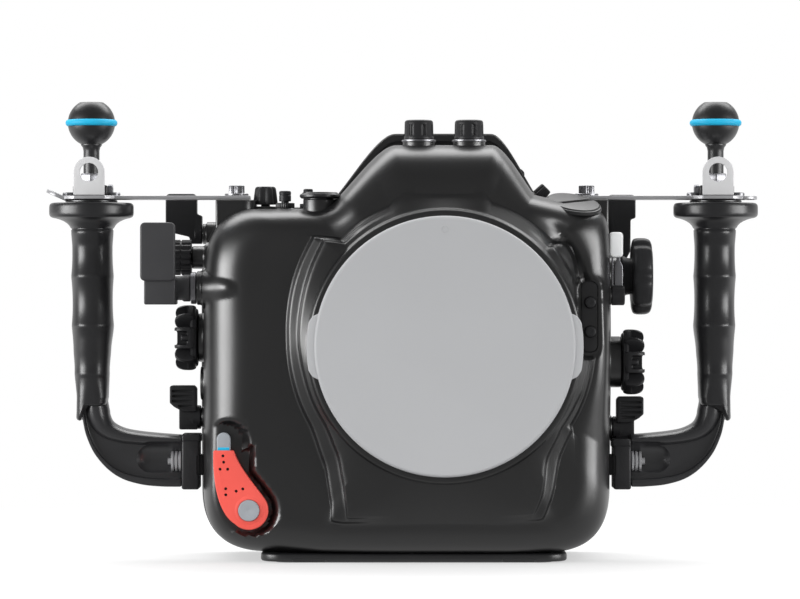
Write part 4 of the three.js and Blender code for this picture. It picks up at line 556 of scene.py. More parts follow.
def cubic(a, b, c, d, steps):
    return [tuple((1 - t) ** 3 * a[k] + 3 * (1 - t) ** 2 * t * b[k] + 3 * (1 - t) * t * t * c[k] + t ** 3 * d[k]
                  for k in (0, 1)) for t in [i / steps for i in range(1, steps + 1)]]


def arcTo(a, b, c, steps=20):
    return [tuple((1 - t) ** 2 * a[k] + 2 * (1 - t) * t * b[k] + t * t * c[k] for k in (0, 1))
            for t in [i / steps for i in range(1, steps + 1)]]


def shellOutline(crown):
    s, corner = shell, 33
    footZ = s["shoulder"] + 7.5
    footL, footR = s["portX"] - 55, s["portX"] + 48
    crownL, crownR = s["portX"] - 25.5, s["portX"] + 25.5
    left, right, low, top = s["left"], s["right"], s["floor"], s["shoulder"]
    line = [(left + corner, low), (right - corner, low)]
    line += arcTo(line[-1], (right, low), (right, low + corner))
    line.append((right, top - 20))
    line += arcTo(line[-1], (right, top), (right - 9, top))
    line.append((footR, footZ))
    rise = crown - footZ
    line += cubic(line[-1], (footR - 0.35 * 22.5, footZ + 0.42 * rise), (crownR + 0.28 * 22.5, crown),
                  (crownR, crown), 20)
    line.append((crownL, crown))
    line += cubic(line[-1], (crownL - 0.28 * 29.5, crown), (footL + 0.35 * 29.5, footZ + 0.42 * rise),
                  (footL, footZ), 20)
    line += arcTo(line[-1], (footL - 5.25, top), (footL - 15.5, top))
    line.append((left + 28, top))
    line += arcTo(line[-1], (left, top), (left, top - 38))
    line.append((left, low + corner))
    line += arcTo(line[-1], (left, low), (left + corner, low))
    return line


# How far the outline is from the port's axis in a direction
def reachIn(line, angle):
    dx, dz, best = math.cos(angle), math.sin(angle), 0
    for p, q in zip(line, line[1:] + line[:1]):
        ex, ez, ox, oz = q[0] - p[0], q[1] - p[1], p[0] - port.x, p[1] - port.z
        cross = dx * ez - dz * ex
        if abs(cross) < 1e-9:
            continue
        along, share = (ox * ez - oz * ex) / cross, (ox * dz - oz * dx) / cross
        if along > 0 and -1e-9 <= share <= 1 + 1e-9:
            best = max(best, along)
    return best


# Side bosses: side, y, z, radius, how far the face stands out of the wall, whether a shaft runs through
sideBosses = {
    "shutter": (-1, -22, 145.7, 9.4, 3.4, True), "commandDial": (-1, 4, 162.3, 6.5, 7.4, True),
    "leftKnob": (-1, 2, 119, 13.5, 3.8, True), "leftPad": (-1, 0, 94.5, 9.5, 2.4, False),
    "leftLatch": (-1, 4, 76, 6.4, 2.2, True), "rightKnob": (1, 2, 105.9, 14.2, 7.4, True),
    "focus": (1, -4, 152.1, 11, 6.8, True), "lensLever": (1, -24, 141.5, 5, 0.6, True),
    "rightLatch": (1, 4, 70, 7.4, 2.6, True),
}
# Fairings that carry a boss forwards into the rounded front: z, then x, y and radius at the boss and at
# the far end
fairings = [
    (145.7, (-108, -24, 10), (-94.5, -40.5, 4.5)), (105.9, (111, 0, 14.4), (99, -22, 15.5)),
    (70, (111, 0, 7.6), (97, -33, 8.6)), (119, (-108, 2, 13.6), (-101, -6, 15)),
    (94.5, (-108, 0, 9.6), (-102, -7, 11)), (76, (-108, 3, 6.6), (-101, -8, 8)),
    (141.5, (111, -24, 5.6), (104, -28, 7)),
]
topBosses = {"dial": (-74.3, -6, 7.6, 189.6, 2.4), "buttonFront": (-63.5, -14, 5, 190.4, 2),
             "buttonRear": (-51.6, 4, 4.4, 190.4, 2)}
ears = {"left": ((-100.5, -79), -89.8), "right": ((92.5, 109.6), 98.5)}
lock = {"x": -81.7, "z": 28.2, "floorY": -38.44, "head": 10.3, "rise": 31.6, "lean": 13.4, "tip": 10.8,
        "rim": 2.2, "slope": 2.4, "lip": 2.4, "arch": 11}
panel = {"buttonX": 98.6, "buttonsZ": (138, 122.6), "x": 98.2, "z": 130.5, "width": 9.4, "height": 38,
         "faceY": -43.6, "seatY": -41.6}
valley = {"line": [(77, 184), (81, 177.5), (86, 170), (92, 159.6), (95.4, 149)], "depth": 2.8, "width": 2.8}
plugs = {"thickness": 3.6, "stem": 7.2, "sunk": 5, "slotDepth": 1.6, "bore": 7.5}
plugLeft = {"at": (-44.5, -27, 193.1), "radius": 10.8, "slotHalf": 1.3, "slotTurn": 0.5}
plugRight = {"at": (90, -27, 188.2), "radius": 15.34, "slotHalf": 1.4, "slotTurn": math.radians(41), "tilt": 19,
             "lean": 9}
bulkheads = {"places": (8.2, 35), "y": -20, "low": 224.9, "high": 235.5, "stemLow": 217.9, "slots": 7,
             "slotTurn": -31}
thumbAxis = {"y": 33, "left": 175.5, "right": 164}
eyepieceAt = (21.6, 0, 182)
windowAt = (18, 92)
slopeAt, slopeAngle = (72.4, 0, 195.15), 45


def tiltPlug(obj):
    p = plugRight
    turn = Matrix.Rotation(math.radians(p["lean"]), 4, "Y") @ Matrix.Rotation(math.radians(p["tilt"]), 4, "X")
    return moved(obj, shift(*p["at"]) @ turn)


def onSlope(obj):
    return moved(obj, shift(*slopeAt) @ Matrix.Rotation(math.radians(slopeAngle), 4, "Y"))


# The lever's outline round its pivot, grown outwards by a rim
def lockOutline(grow, steps=14):
    k = lock
    head, half, top, lean = k["head"] + grow, k["tip"] / 2 + grow, k["rise"] + grow, k["lean"]
    a0, a1 = math.radians(225), math.radians(390)
    line = [(-lean - half, top)]
    line += cubic(line[0], (-lean - 1.1 * half, 0.5 * top), (-lean - 0.6 * half, -0.05 * top),
                  (head * math.cos(a0), head * math.sin(a0)), steps)
    for i in range(1, 2 * steps + 1):
        a = a0 + (a1 - a0) * i / (2 * steps)
        line.append((head * math.cos(a), head * math.sin(a)))
    line += cubic(line[-1], (0.5 * head, 1.1 * head), (-0.4 * lean, 0.7 * top), (-lean + half, top), steps)
    return [(k["x"] + u, k["z"] + v) for u, v in line]


def lineGap(px, pz, a, b):
    ex, ez = b[0] - a[0], b[1] - a[1]
    t = max(0.0, min(1.0, ((px - a[0]) * ex + (pz - a[1]) * ez) / (ex * ex + ez * ez or 1)))
    return math.hypot(px - a[0] - t * ex, pz - a[1] - t * ez)


# Distance to a closed outline, negative inside it
def outlineGap(x, z, line):
    inside, best = False, 1e9
    for a, b in zip(line, line[1:] + line[:1]):
        best = min(best, lineGap(x, z, a, b))
        if (a[1] > z) != (b[1] > z) and x < (b[0] - a[0]) * (z - a[1]) / (b[1] - a[1]) + a[0]:
            inside = not inside
    return -best if inside else best


pocketLine = lockOutline(lock["rim"], 7)
panelLine = roundedOutline(panel["width"] + 3, panel["height"] + 3, 5.4, (panel["x"], panel["z"]), 4)


# The front face with its fairings, the lock's pocket, the plate's seat and the valley over it
def shaped(x, z, y):
    for fz, (x0, y0, r0), (x1, y1, r1) in fairings:
        t = (x - x0) / (x1 - x0)
        if -0.05 < t < 1.3 and abs(z - fz) < max(r0, r1):
            t = max(0.0, min(1.0, t))
            radius = r0 + (r1 - r0) * t
            if abs(z - fz) < radius:
                y = blendLow(y, y0 + (y1 - y0) * t - math.sqrt(radius ** 2 - (z - fz) ** 2), 3.2)
    k = lock
    if x < -55 and z < 90:
        swing = max(x - k["x"], k["z"] - 10.9 - z, z - k["z"] - k["rise"])
        disc = math.hypot(x - k["x"] + k["lean"], z - k["z"] - k["rise"] - 3.2) - k["arch"]
        gap = min(swing, disc)
        if gap > -3:
            gap = min(gap, outlineGap(x, z, pocketLine))
        y = -blendLow(-y, -(k["floorY"] - k["slope"] * max(0.0, gap)), k["lip"])
    if x > 84 and 105 < z < 156:
        gap = outlineGap(x, z, panelLine)
        y += (panel["faceY"] - y) * ease(1 - gap / 2.6)
    if x > 60 and z > 140:
        gap = min(lineGap(x, z, a, b) for a, b in zip(valley["line"], valley["line"][1:]))
        y += valley["depth"] * ease((184 - z) / 14) * math.exp(-(gap / valley["width"]) ** 2)
    return y


# Radius and y from behind the joint, over the side and the face, to the port's rim
def frontSection(angle, reach):
    s, degrees = shell, math.degrees(angle)
    roundShare, depthShare, faceShare, step = valuesAt(faceShares, degrees)
    inner, width = s["rim"] + s["coneFlare"], s["stepRun"]
    run = min(roundShare * s["roundRun"], reach - inner - 2 * width - 3)
    ridgeA = min(valuesAt(outerRidge, degrees)[0], reach - run - width - 0.5)
    ridgeB = min(max(valuesAt(innerRidge, degrees)[0], inner + 0.4), ridgeA - width - 0.6)
    faceY = s["joint"] - faceShare * s["depth"]
    startY = min(faceY + depthShare * s["roundDepth"], s["joint"] - s["wall"])
    coneY = s["rimFace"] + s["coneProud"]
    outer, fall = reach - run, coneY - faceY

    def height(r, share):
        sloped = coneY + (faceY - coneY) * (r - inner) / (outer - inner)
        return sloped + (faceY + fall * share - sloped) * step

    face = []
    low = levelShares
    for i in range(5):
        t = i / 5
        face.append((inner + (ridgeB - inner) * t, 1 + (low[0] - 1) * t))
    for t in (0, 0.12, 0.28, 0.5, 0.72, 0.88):
        face.append((ridgeB + width * t, low[0] + (low[1] - low[0]) * ease(t)))
    for i in range(5):
        t = i / 5
        face.append((ridgeB + width + (ridgeA - ridgeB - width) * t, low[1] + (low[2] - low[1]) * t))
    for t in (0, 0.12, 0.28, 0.5, 0.72, 0.88):
        face.append((ridgeA + width * t, low[2] + (low[3] - low[2]) * ease(t)))
    for i in range(37):
        t = i / 36
        face.append((ridgeA + width + (outer - ridgeA - width) * t, low[3] * (1 - t)))
    line = [(reach, s["joint"] + 3), (reach, (s["joint"] + startY) / 2)]
    curved = []
    for i in range(18):
        a = i / 18 * math.pi / 2
        curved.append((reach - run * (1 - math.cos(a) ** s["fullness"]),
                       startY + (faceY - startY) * math.sin(a) ** s["fullness"]))
    curved += [(r, height(r, share)) for r, share in reversed(face)]
    dx, dz = math.cos(angle), math.sin(angle)
    line += [(r, shaped(port.x + r * dx, port.z + r * dz, y)) for r, y in curved]
    rim, front = s["rim"], s["rimFace"]
    return line + [(rim + 1, front + 1.8), (rim + 0.6, front + 0.9), (rim + 0.1, front + 0.3),
                   (rim - 0.6, front + 0.05), (rim - 1.2, front), (30, front)]


# Rings round the port's axis, one for each place of the section, closed by poles
def aroundPort(sectionAt, count, line):
    sections = []
    for i in range(count):
        a = math.tau * (i + 0.5) / count
        sections.append([(port.x + r * math.cos(a), y, port.z + r * math.sin(a))
                         for r, y in sectionAt(a, reachIn(line, a))])
    rings = [list(points) for points in zip(*sections)]
    first, last = [(port.x, r[0][1], port.z) for r in (rings[0], rings[-1])]
    points = [p for r in rings for p in r] + [first, last]
    n, faces = count, []
    for i in range(len(rings) - 1):
        for j in range(n):
            k = (j + 1) % n
            faces.append((i * n + j, i * n + k, (i + 1) * n + k, (i + 1) * n + j))
    top = (len(rings) - 1) * n
    for j in range(n):
        k = (j + 1) % n
        faces += [(k, j, len(points) - 2), (top + j, top + k, len(points) - 1)]
    return cleanUp(meshObject("rings", points, faces))


frontLine, rearLine = shellOutline(shell["crown"]), shellOutline(shell["rearCrown"])


def wallOf(side):
    return shell["left"] if side < 0 else shell["right"]


# A bar along X on a side wall, from inner to outer, both measured outwards from the wall
def sideBar(side, y, z, radius, inner, outer, **more):
    ends = sorted((wallOf(side) + side * inner, wallOf(side) + side * outer))
    return bar("x", radius, *ends, at=(0, y, z), **more)


# A profile of radius and distance outwards from the side wall, spun round its shaft
def sideTurned(side, y, z, profile, sides=64):
    return turned("x", [(r, wallOf(side) + side * out) for r, out in profile], at=(0, y, z), sides=sides)


# A boss with a hollow foot and a rounded rim, as the cutter leaves it
def bossProfile(radius, reach, foot=2.2, edge=0.9):
    line = [(0, -6), (radius + foot, -6)]
    line += [(radius + foot - foot * math.sin(a), min(foot, reach - edge) * (1 - math.cos(a)) - 0.3)
             for a in [math.pi / 2 * i / 5 for i in range(6)]]
    return line + arc((radius - edge, reach - edge), edge, 0, 90, 4) + [(0, reach)]


# An ear from above, crisp on its outer side and round on the inner one
def earOutline(left, right, front=-21, back=9, corner=7.4, crisp=1.2):
    outward = -1 if left < 0 else 1
    outer, inner = (left, right) if outward < 0 else (right, left)
    line = []
    for x, y, radius, first in ((inner, front, corner, -90), (inner, back, corner, 0), (outer, back, crisp, 90),
                                (outer, front, crisp, 180)):
        toward = 1 if x == outer else -1
        cx, cy = x - outward * toward * radius, y + (radius if y == front else -radius)
        for i in range(9):
            a = math.radians(first + 90 * i / 8)
            line.append((cx - outward * radius * math.cos(a), cy + radius * math.sin(a)))
    return line


def buildFrontShell():
    s = shell
    body = aroundPort(frontSection, s["angles"], frontLine)
    print("  front skin", len(body.data.polygons))
    grown = [sideTurned(side, y, z,
                        bossProfile(radius - (0.4 if reach > 1 else 0), reach, 2.2 if reach > 1 else 0.4,
                                    min(0.9, reach / 2)))
             for side, y, z, radius, reach, _ in sideBosses.values()]
    grown += [turned("z", [(r, top + t - 2.4) for r, t in bossProfile(radius - 0.3, 2.4, 1.6, 0.5)],
                     at=(x, y, 0), sides=40) for x, y, radius, top, _ in topBosses.values()]
    grown += [turned("z", [(r, 182.8 + t) for r, t in bossProfile(9, 10, 3.5, 0.5)],
                     at=(*plugLeft["at"][:2], 0), sides=56)]
    funnel = [(0, -26), (6, -26), (7, -20), (9.2, -14), (12, -8.5), (14.2, -4.2), (14.9, -1.6), (14.9, -0.5),
              (14.5, -0.1), (0, -0.1)]
    grown += [tiltPlug(turned("z", funnel, sides=64))]
    grown += [turned("z", [(r, 214.6 + t) for r, t in bossProfile(8.6, 10, 4, 0.4)], at=(x, bulkheads["y"], 0),
                     sides=56) for x in bulkheads["places"]]
    grown += [onSlope(turned("z", [(r, t - 2.4) for r, t in bossProfile(4.4, 2.1, 1.4, 0.4)], sides=32))]
    grown += [plate("z", earOutline(*xs), 170, 193, edge=0.7, angle=40) for xs, _ in ears.values()]
    fuse(body, *grown)

    # The hollow inside, the port's bore, the shafts' bores and the flat joint
    def hollowSection(angle, reach):
        degrees = math.degrees(angle) % 360
        roundShare, depthShare, faceShare = valuesAt(faceShares, degrees)[:3]
        run = min(roundShare * s["roundRun"], (reach - s["rim"] - s["coneFlare"]) / 2)
        faceY = s["joint"] - faceShare * s["depth"]
        innerY = faceY + s["wall"] + 7 * ease(1.6 - abs(degrees - 217) / 25)
        side = max(min(faceY + depthShare * s["roundDepth"], s["joint"] - s["wall"]), innerY + 3.5)
        return [(reach - s["wall"], s["joint"] + 6), (reach - s["wall"], side), (reach - run - 4.5, innerY)]

    hollow = aroundPort(hollowSection, 90, frontLine)
    hollow = fuse(hollow, bar("y", s["bore"], -80, 0, at=port, sides=160),
                  block(past, (s["joint"], 200), (-100, 400)))
    shafts = [sideBar(side, y, z, shaftBore, -26, 10, sides=24)
              for side, y, z, _, _, through in sideBosses.values() if through]
    shafts += [bar("z", shaft + 0.3, 170, 200, at=(x, y, 0), sides=24)
               for x, y, _, _, shaft in topBosses.values()]
    shafts += [bar("z", 2.8, 182, 200, at=(hole, -6, 0), sides=24) for _, hole in ears.values()]
    shafts += [bar("z", plugs["bore"], 186, 200, at=(*plugLeft["at"][:2], 0)),
               tiltPlug(bar("z", plugs["bore"], -7, 20, sides=40))]
    shafts += [bar("z", 5.3, 216, 240, at=(x, bulkheads["y"], 0), sides=32) for x in bulkheads["places"]]
    shafts += [onSlope(turned("z", [(0, -24), (2, -24), (2, -2.3), (4, -2.3), (4, 6), (0, 6)], sides=40))]
    shafts += [bar("y", 3.7, lock["floorY"] - 2, lock["floorY"] + 9, at=(lock["x"], 0, lock["z"]), sides=32)]
    shafts += [fuse(plate("y", roundedOutline(panel["width"], panel["height"], 4, (panel["x"], panel["z"]), 8),
                          -60, panel["seatY"]),
                    *[turned("y", [(0, -44), (3.3, -44), (3.3, -39.4), (1.9, -39.4), (1.9, -25), (0, -25)],
                             at=(panel["buttonX"], 0, z), sides=40) for z in panel["buttonsZ"]])]
    carve(body, hollow, gather(*shafts))
    return finishPiece(body, "frontShell", look["anodised"], "front_housing", angle=38)


frontShell = buildFrontShell()
print("front shell", len(frontShell.data.polygons))

rearPlaces = {
    "rear_button_focus": (-82.4, 133, 5), "rear_button_select": (-52.4, 103, 4),
    "rear_button_menu": (87.6, 133, 4), "rear_dial": (-66.4, 69, 17), "rear_joystick": (-52.4, 129, 5.4),
    "viewfinder_lever": (62.1, 187, 6),
}
pinY, rearPins = 20.1, ((-1, 76), (1, 70))  # pins stand out under the latches' claws


def buildRearShell():
    s = shell
    back = s["rearBack"]

    def section(angle, reach):
        reach += s["rearGrow"]
        lipEnd = s["rearFront"] + s["lipDepth"]
        line = [(reach + s["lip"] - 0.8, s["rearFront"] - 3), (reach + s["lip"] - 0.8, s["rearFront"]),
                (reach + s["lip"], s["rearFront"] + 0.8), (reach + s["lip"], lipEnd - 0.6),
                (reach + s["lip"] - 0.6, lipEnd), (reach + 0.5, lipEnd + 0.2), (reach, lipEnd + 0.9),
                (reach, back - s["rearRoundDepth"] - 4)]
        for i in range(15):
            a = i / 14 * math.pi / 2
            line.append((reach - s["rearRoundRun"] * (1 - math.cos(a)),
                         back - s["rearRoundDepth"] * (1 - math.sin(a))))
        return line + [(0.5 * reach, back)]

    body = aroundPort(section, 480, rearLine)
    # A raised field round the screen, a plinth under the eyepiece, and a boss for each control
    field = plate("y", roundedOutline(110, 84, 12, windowAt, 10), back - 4, back + 1.6, edge=1.1, segments=4)
    grown = [field,
             turned("y", [(0, back - 6), (31, back - 6), (30, back - 0.4), (28, back + 0.2),
                          (27.2, back + 0.25), (0, back + 0.25)], at=eyepieceAt, sides=96)]
    for x, z, radius in rearPlaces.values():
        size = min(radius + 1.4, 9)
        grown.append(turned("y", [(r, back + t) for r, t in bossProfile(size, 2, 1.8, 0.5)], at=(x, 0, z),
                            sides=48))
    grown += [sideTurned(side, thumbAxis["y"], z,
                         [(r, t + s["rearGrow"] - 0.6)
                          for r, t in bossProfile(5.6, 3 - s["rearGrow"] + 0.6, 1, 0.4)], 40)
              for side, z in ((-1, thumbAxis["left"]), (1, thumbAxis["right"]))]
    grown += [sideBar(side, pinY, z, 2.6, -4, 5, sides=24, edge=0.3) for side, z in rearPins]
    fuse(body, *grown)

    def hollowSection(angle, reach):
        return [(reach - s["rearWall"], s["rearFront"] - 6), (reach - s["rearWall"] - 0.3, back - 16),
                (reach - s["rearWall"] - s["rearRoundRun"], back - 6)]

    hollow = aroundPort(hollowSection, 90, rearLine)
    sealGroove = aroundPort(lambda a, reach: [(reach - 1.2, s["rearFront"] - 1),
                                              (reach - 1.2, s["rearFront"] + 3.3)], 180, rearLine)
    carve(sealGroove,
          aroundPort(lambda a, reach: [(reach - 4.8, s["rearFront"] - 9), (reach - 4.8, s["rearFront"] + 9)],
                     180, rearLine))
    cutters = [fuse(plate("y", roundedOutline(96.6, 70.6, 7, windowAt, 8), back - 4.3, back + 9),
                    plate("y", roundedOutline(86, 60, 4, windowAt, 8), back - 20, back - 4.2)),
               bar("y", 16, back - 20, back + 9, at=eyepieceAt, sides=64)]
    for x, z, radius in rearPlaces.values():
        shaft, wide = (2.3, radius + 0.35) if radius < 5.5 else (3.3, 3.3)
        cutters.append(turned("y", [(0, back - 16), (shaft, back - 16), (shaft, back - 0.2), (wide, back - 0.1),
                                    (wide, back + 9), (0, back + 9)], at=(x, 0, z), sides=48))
    cutters += [sideBar(side, thumbAxis["y"], z, shaftBore, -18, 9, sides=24)
                for side, z in ((-1, thumbAxis["left"]), (1, thumbAxis["right"]))]
    ends = fuse(hollow, block(past, (-200, s["rearFront"]), (-100, 400)),
                block(past, (-200, 300), (-100, s["floor"])))
    carve(body, sealGroove, ends, gather(*cutters))
    return finishPiece(body, "rearShell", look["anodised"], "rear_housing", angle=38)


rearShell = buildRearShell()
print("rear shell", len(rearShell.data.polygons))

# ---- port cap: a moulded disc with a rounded rim, two finger tabs and a skirt into the port
portCap = {"radius": 68.4, "front": -67, "face": -66.86, "round": 1.7, "back": -62.3, "skirt": 59.1,
           "skirtEnd": -52.3, "grooveFrom": -58.1, "grooveTo": -55.7, "groove": 57, "tabReach": 72.4,
           "tabHalf": 18, "tabFlat": 14.2, "tabBack": -62.6, "tabFront": -65.6}


def buildPortCap():
    c = portCap
    edge = [(0, c["face"]), (40, c["face"]), (c["radius"] - c["round"] - 0.6, c["face"])]
    edge += [(c["radius"] - c["round"] * (1 - math.sin(a)), c["face"] + c["round"] * (1 - math.cos(a)))
             for a in [math.pi / 2 * i / 8 for i in range(9)]]
    edge += [(c["radius"], c["back"] - 0.4), (c["radius"] - 0.4, c["back"]), (c["skirt"], c["back"]),
             (c["skirt"], c["grooveFrom"]), (c["groove"], c["grooveFrom"]), (c["groove"], c["grooveTo"]),
             (c["skirt"], c["grooveTo"]), (c["skirt"], c["skirtEnd"] - 0.8), (c["skirt"] - 0.8, c["skirtEnd"]),
             (c["skirt"] - 4, c["skirtEnd"]), (c["skirt"] - 4.6, c["skirtEnd"] - 0.6),
             (c["skirt"] - 4.6, c["back"] - 1.3), (0, c["back"] - 1.3)]
    body = turned("y", edge, at=port, sides=192)
    for side in (-1, 1):
        reach, half, flat = c["tabReach"], c["tabHalf"], c["tabFlat"]
        low = math.sqrt(c["radius"] ** 2 - half ** 2)
        line = smoothLine([(low - 1.4, half), (low + 1.6, half - 1.4),
                           (math.sqrt(reach ** 2 - flat ** 2) - 1.8, flat + 1.5),
                           (math.sqrt(reach ** 2 - flat ** 2) - 0.2, flat - 0.7)], 5, False)
        outer = [(reach * math.cos(a), reach * math.sin(a))
                 for a in [(0.88 - 0.11 * i) * math.asin(flat / reach) for i in range(17)]]
        line = [(55, half - 3)] + line + outer + [(u, -v) for u, v in line[::-1]] + [(55, 3 - half)]
        tab = plate("y", [(port.x + side * u, port.z + v) for u, v in line], c["tabFront"], c["tabBack"],
                    edge=0.6, segments=3, angle=50)
        fuse(body, tab)
    # The moulding mark near the top, a fine raised ring
    mark = turned("y", [(1.35, c["face"] + 0.3), (1.4, c["face"] - 0.08), (1.55, c["front"]),
                        (1.85, c["front"]), (2, c["face"] - 0.08), (2.05, c["face"] + 0.3),
                        (1.35, c["face"] + 0.3)], at=(port.x, 0, port.z + 61.5), sides=40)
    finishPiece(mark, "capMark", look["capGrey"], body="port_cap")
    return finishPiece(body, "portCap", look["capGrey"], "port_cap", angle=30)


buildPortCap()
print("port cap")


# ---- port lock: coral lever with a raised ring, eight small holes darkened with painted shade, a grey pivot disc and a sliding catch
lever = {"front": -44.7, "back": -38.7, "disc": 5.6, "discFront": -46.4, "ring": 7.3, "ringRise": 0.28,
         "pivot": 3.4, "pivotBack": -27.7, "dot": 0.78, "dotDepth": 0.9,
         "dots": [(-95.4, 57.0), (-95.0, 53.7), (-96.9, 50.0), (-92.9, 50.0), (-93.9, 39.7), (-93.9, 36.5),
                  (-88.4, 38.4), (-84.9, 39.6)]}
catch = {"half": 3.7, "low": 55.8, "top": 69.3, "front": -43.3, "back": -40.1, "mark": (6.2, 1.5, 0.3),
         "markZ": 60.7, "markY": (-43.34, -42.6)}


def buildPortLock():
    k, x, z = lever, lock["x"], lock["z"]
    front, wide = k["front"], k["ring"]
    body = plate("y", lockOutline(0, 20), front, k["back"], edge=0.7, segments=3)
    top = front - k["ringRise"]
    raised = turned("y", [(0, front + 2), (wide + 0.5, front + 2), (wide + 0.5, front + 0.01),
                          (wide + 0.1, front - 0.02), (wide - 0.3, top), (0, top)], at=(x, 0, z), sides=64)
    stem = bar("y", k["pivot"], k["back"] - 0.5, k["pivotBack"], at=(x, 0, z), sides=32, edge=0.4)
    fuse(body, raised, stem)
    dot, floorY = k["dot"], front + k["dotDepth"]
    holes = [bar("y", dot, front - 1, floorY, at=(u, 0, v), sides=24) for u, v in k["dots"]]
    seat = bar("y", k["disc"] + 0.25, front - 2, front + 0.3, at=(x, 0, z), sides=64)
    carve(body, gather(*holes), seat)
    finishPiece(body, "lockLever", look["coral"], "port_lock_lever", angle=35)
    # Dark discs at the bottom of the eight holes: painted shade in the holes
    fill = [(0, floorY + 0.1), (dot + 0.05, floorY + 0.1), (dot - 0.02, floorY - 0.45), (0, floorY - 0.4)]
    fills = [turned("y", fill, at=(u, 0, v), sides=20) for u, v in k["dots"]]
    finishPiece(gather(*fills), "leverMarks", look["shadow"], body="port_lock")
    disc, outerY = k["disc"], k["discFront"]
    cover = turned("y", [(0, outerY + 1.9), (disc, outerY + 1.9), (disc, outerY + 0.4),
                         (disc - 0.35, outerY + 0.05), (0.9, outerY), (0.6, outerY + 0.1), (0, outerY + 0.1)],
                   at=(x, 0, z), sides=64)
    finishPiece(cover, "pivotDisc", look["catchGrey"], "lock_pivot_cap")
    c = catch
    cx, half, low = x - lock["lean"], c["half"], c["low"]
    line = arc((cx, c["top"] - half), half, 0, 180, 20) + [(cx - half, low), (cx + half, low)]
    pill = plate("y", line, c["front"], c["back"], edge=0.8, segments=4)
    finishPiece(pill, "lockCatch", look["catchGrey"], "lock_catch")
    mark = plate("y", roundedOutline(*c["mark"], (cx, c["markZ"]), 3), *c["markY"], edge=0.1, segments=2)
    finishPiece(mark, "catchMark", look["cyan"], body="lock_catch")


buildPortLock()
print("port lock")


# ---- button plate beside the port, with its two buttons
buttonPlate = {"width": 8.8, "height": 37.4, "corner": 3.7, "front": -43.1, "back": -41.9, "hole": 3.25}
frontButton = [(0, -36.4), (1.6, -36.4), (1.6, -42.4), (2.95, -42.4), (2.95, -45.9), (2.75, -46.35),
               (2.3, -46.6), (1.2, -46.52), (0, -46.48)]


def buildButtonPlate():
    p, b = panel, buttonPlate
    body = plate("y", roundedOutline(b["width"], b["height"], b["corner"], (p["x"], p["z"]), 8), b["front"],
                 b["back"], edge=0.35)
    for z in p["buttonsZ"]:
        carve(body, bar("y", b["hole"], b["front"] - 0.9, b["back"] + 0.9, at=(p["buttonX"], 0, z), sides=48))
    finishPiece(body, "buttonPlate", look["anodisedFine"], "button_plate")
    for which, z in zip(("Upper", "Lower"), p["buttonsZ"]):
        button = turned("y", frontButton, at=(p["buttonX"], 0, z), sides=48)
        finishPiece(button, "frontButton" + which, look["nylon"], "front_button_" + which.lower())


buildButtonPlate()


# ---- base plate: rounded corners, a relief, two scoops and three threaded holes underneath
base = {"left": -76, "right": 87, "front": -38, "back": 46, "thickness": 5, "corner": 12, "hole": 3.2,
        "holePitch": 24, "scoops": (-50, 61), "screwsX": (-58, 69), "screwsY": (-28, 36)}


def buildBasePlate():
    b = base
    width, depth = b["right"] - b["left"], b["back"] - b["front"]
    centre = ((b["right"] + b["left"]) / 2, (b["back"] + b["front"]) / 2)
    body = plate("z", roundedOutline(width, depth, b["corner"], centre, 10), 0.6, b["thickness"], edge=1.3,
                 segments=4)
    sole = plate("z", roundedOutline(width - 14, depth - 8, b["corner"] - 3, centre, 10), 0, 1.2, edge=0.4)
    fuse(body, sole)
    relief = plate("z", roundedOutline(width - 58, depth - 26, 8, centre, 8), -1, 0.5, edge=0.3)
    holes = [bar("z", b["hole"], -2, 8, at=(centre[0] + i * b["holePitch"], centre[1], 0), sides=32)
             for i in (-1, 0, 1)]
    scoops = [block((x - 9, x + 9), (b["front"] - 3, b["front"] + 1.1), (-1, 2.2), edge=0.8)
              for x in b["scoops"]]
    carve(body, relief, gather(*holes), gather(*scoops))
    finishPiece(body, "basePlate", look["anodisedFine"], "base_plate")
    head = [(0, 0.9), (1.7, 0.9), (1.7, 2.5), (3.1, 2.5), (3.1, 0.4), (2.9, 0.1), (0, 0.1)]
    screws = [turned("z", head, at=(x, y, 0), sides=32) for x in b["screwsX"] for y in b["screwsY"]]
    finishFitting(gather(*screws), "soleScrews")


buildBasePlate()
print("base")


# ---- plugs: discs with a coin slot over a stem
def plugShape(which):
    p, radius, half = plugs, which["radius"], which["slotHalf"]
    thickness = p["thickness"]
    body = turned("z", [(0, -p["sunk"]), (p["stem"], -p["sunk"]), (p["stem"], 0.3), (radius - 0.9, 0.3),
                        (radius, 1.1), (radius, thickness - 1.5), (radius - 0.5, thickness - 0.9),
                        (radius - 1.1, thickness - 0.72), (radius - 1.6, thickness - 0.1),
                        (radius - 2.1, thickness), (0, thickness)], sides=96)
    slot = block((-radius + 1.2, radius - 1.2), (-half, half), (thickness - p["slotDepth"], thickness + 3),
                 edge=0.25, segments=2)
    return moved(carve(body, slot), Matrix.Rotation(which["slotTurn"], 4, "Z"))


finishPiece(moved(plugShape(plugLeft), shift(*plugLeft["at"])), "leftPlug", look["anodisedFine"], "plug_left",
            angle=30)
rightPlug = tiltPlug(moved(plugShape(plugRight), shift(z=0.3)))
finishPiece(rightPlug, "rightPlug", look["anodisedFine"], "plug_right", angle=30)
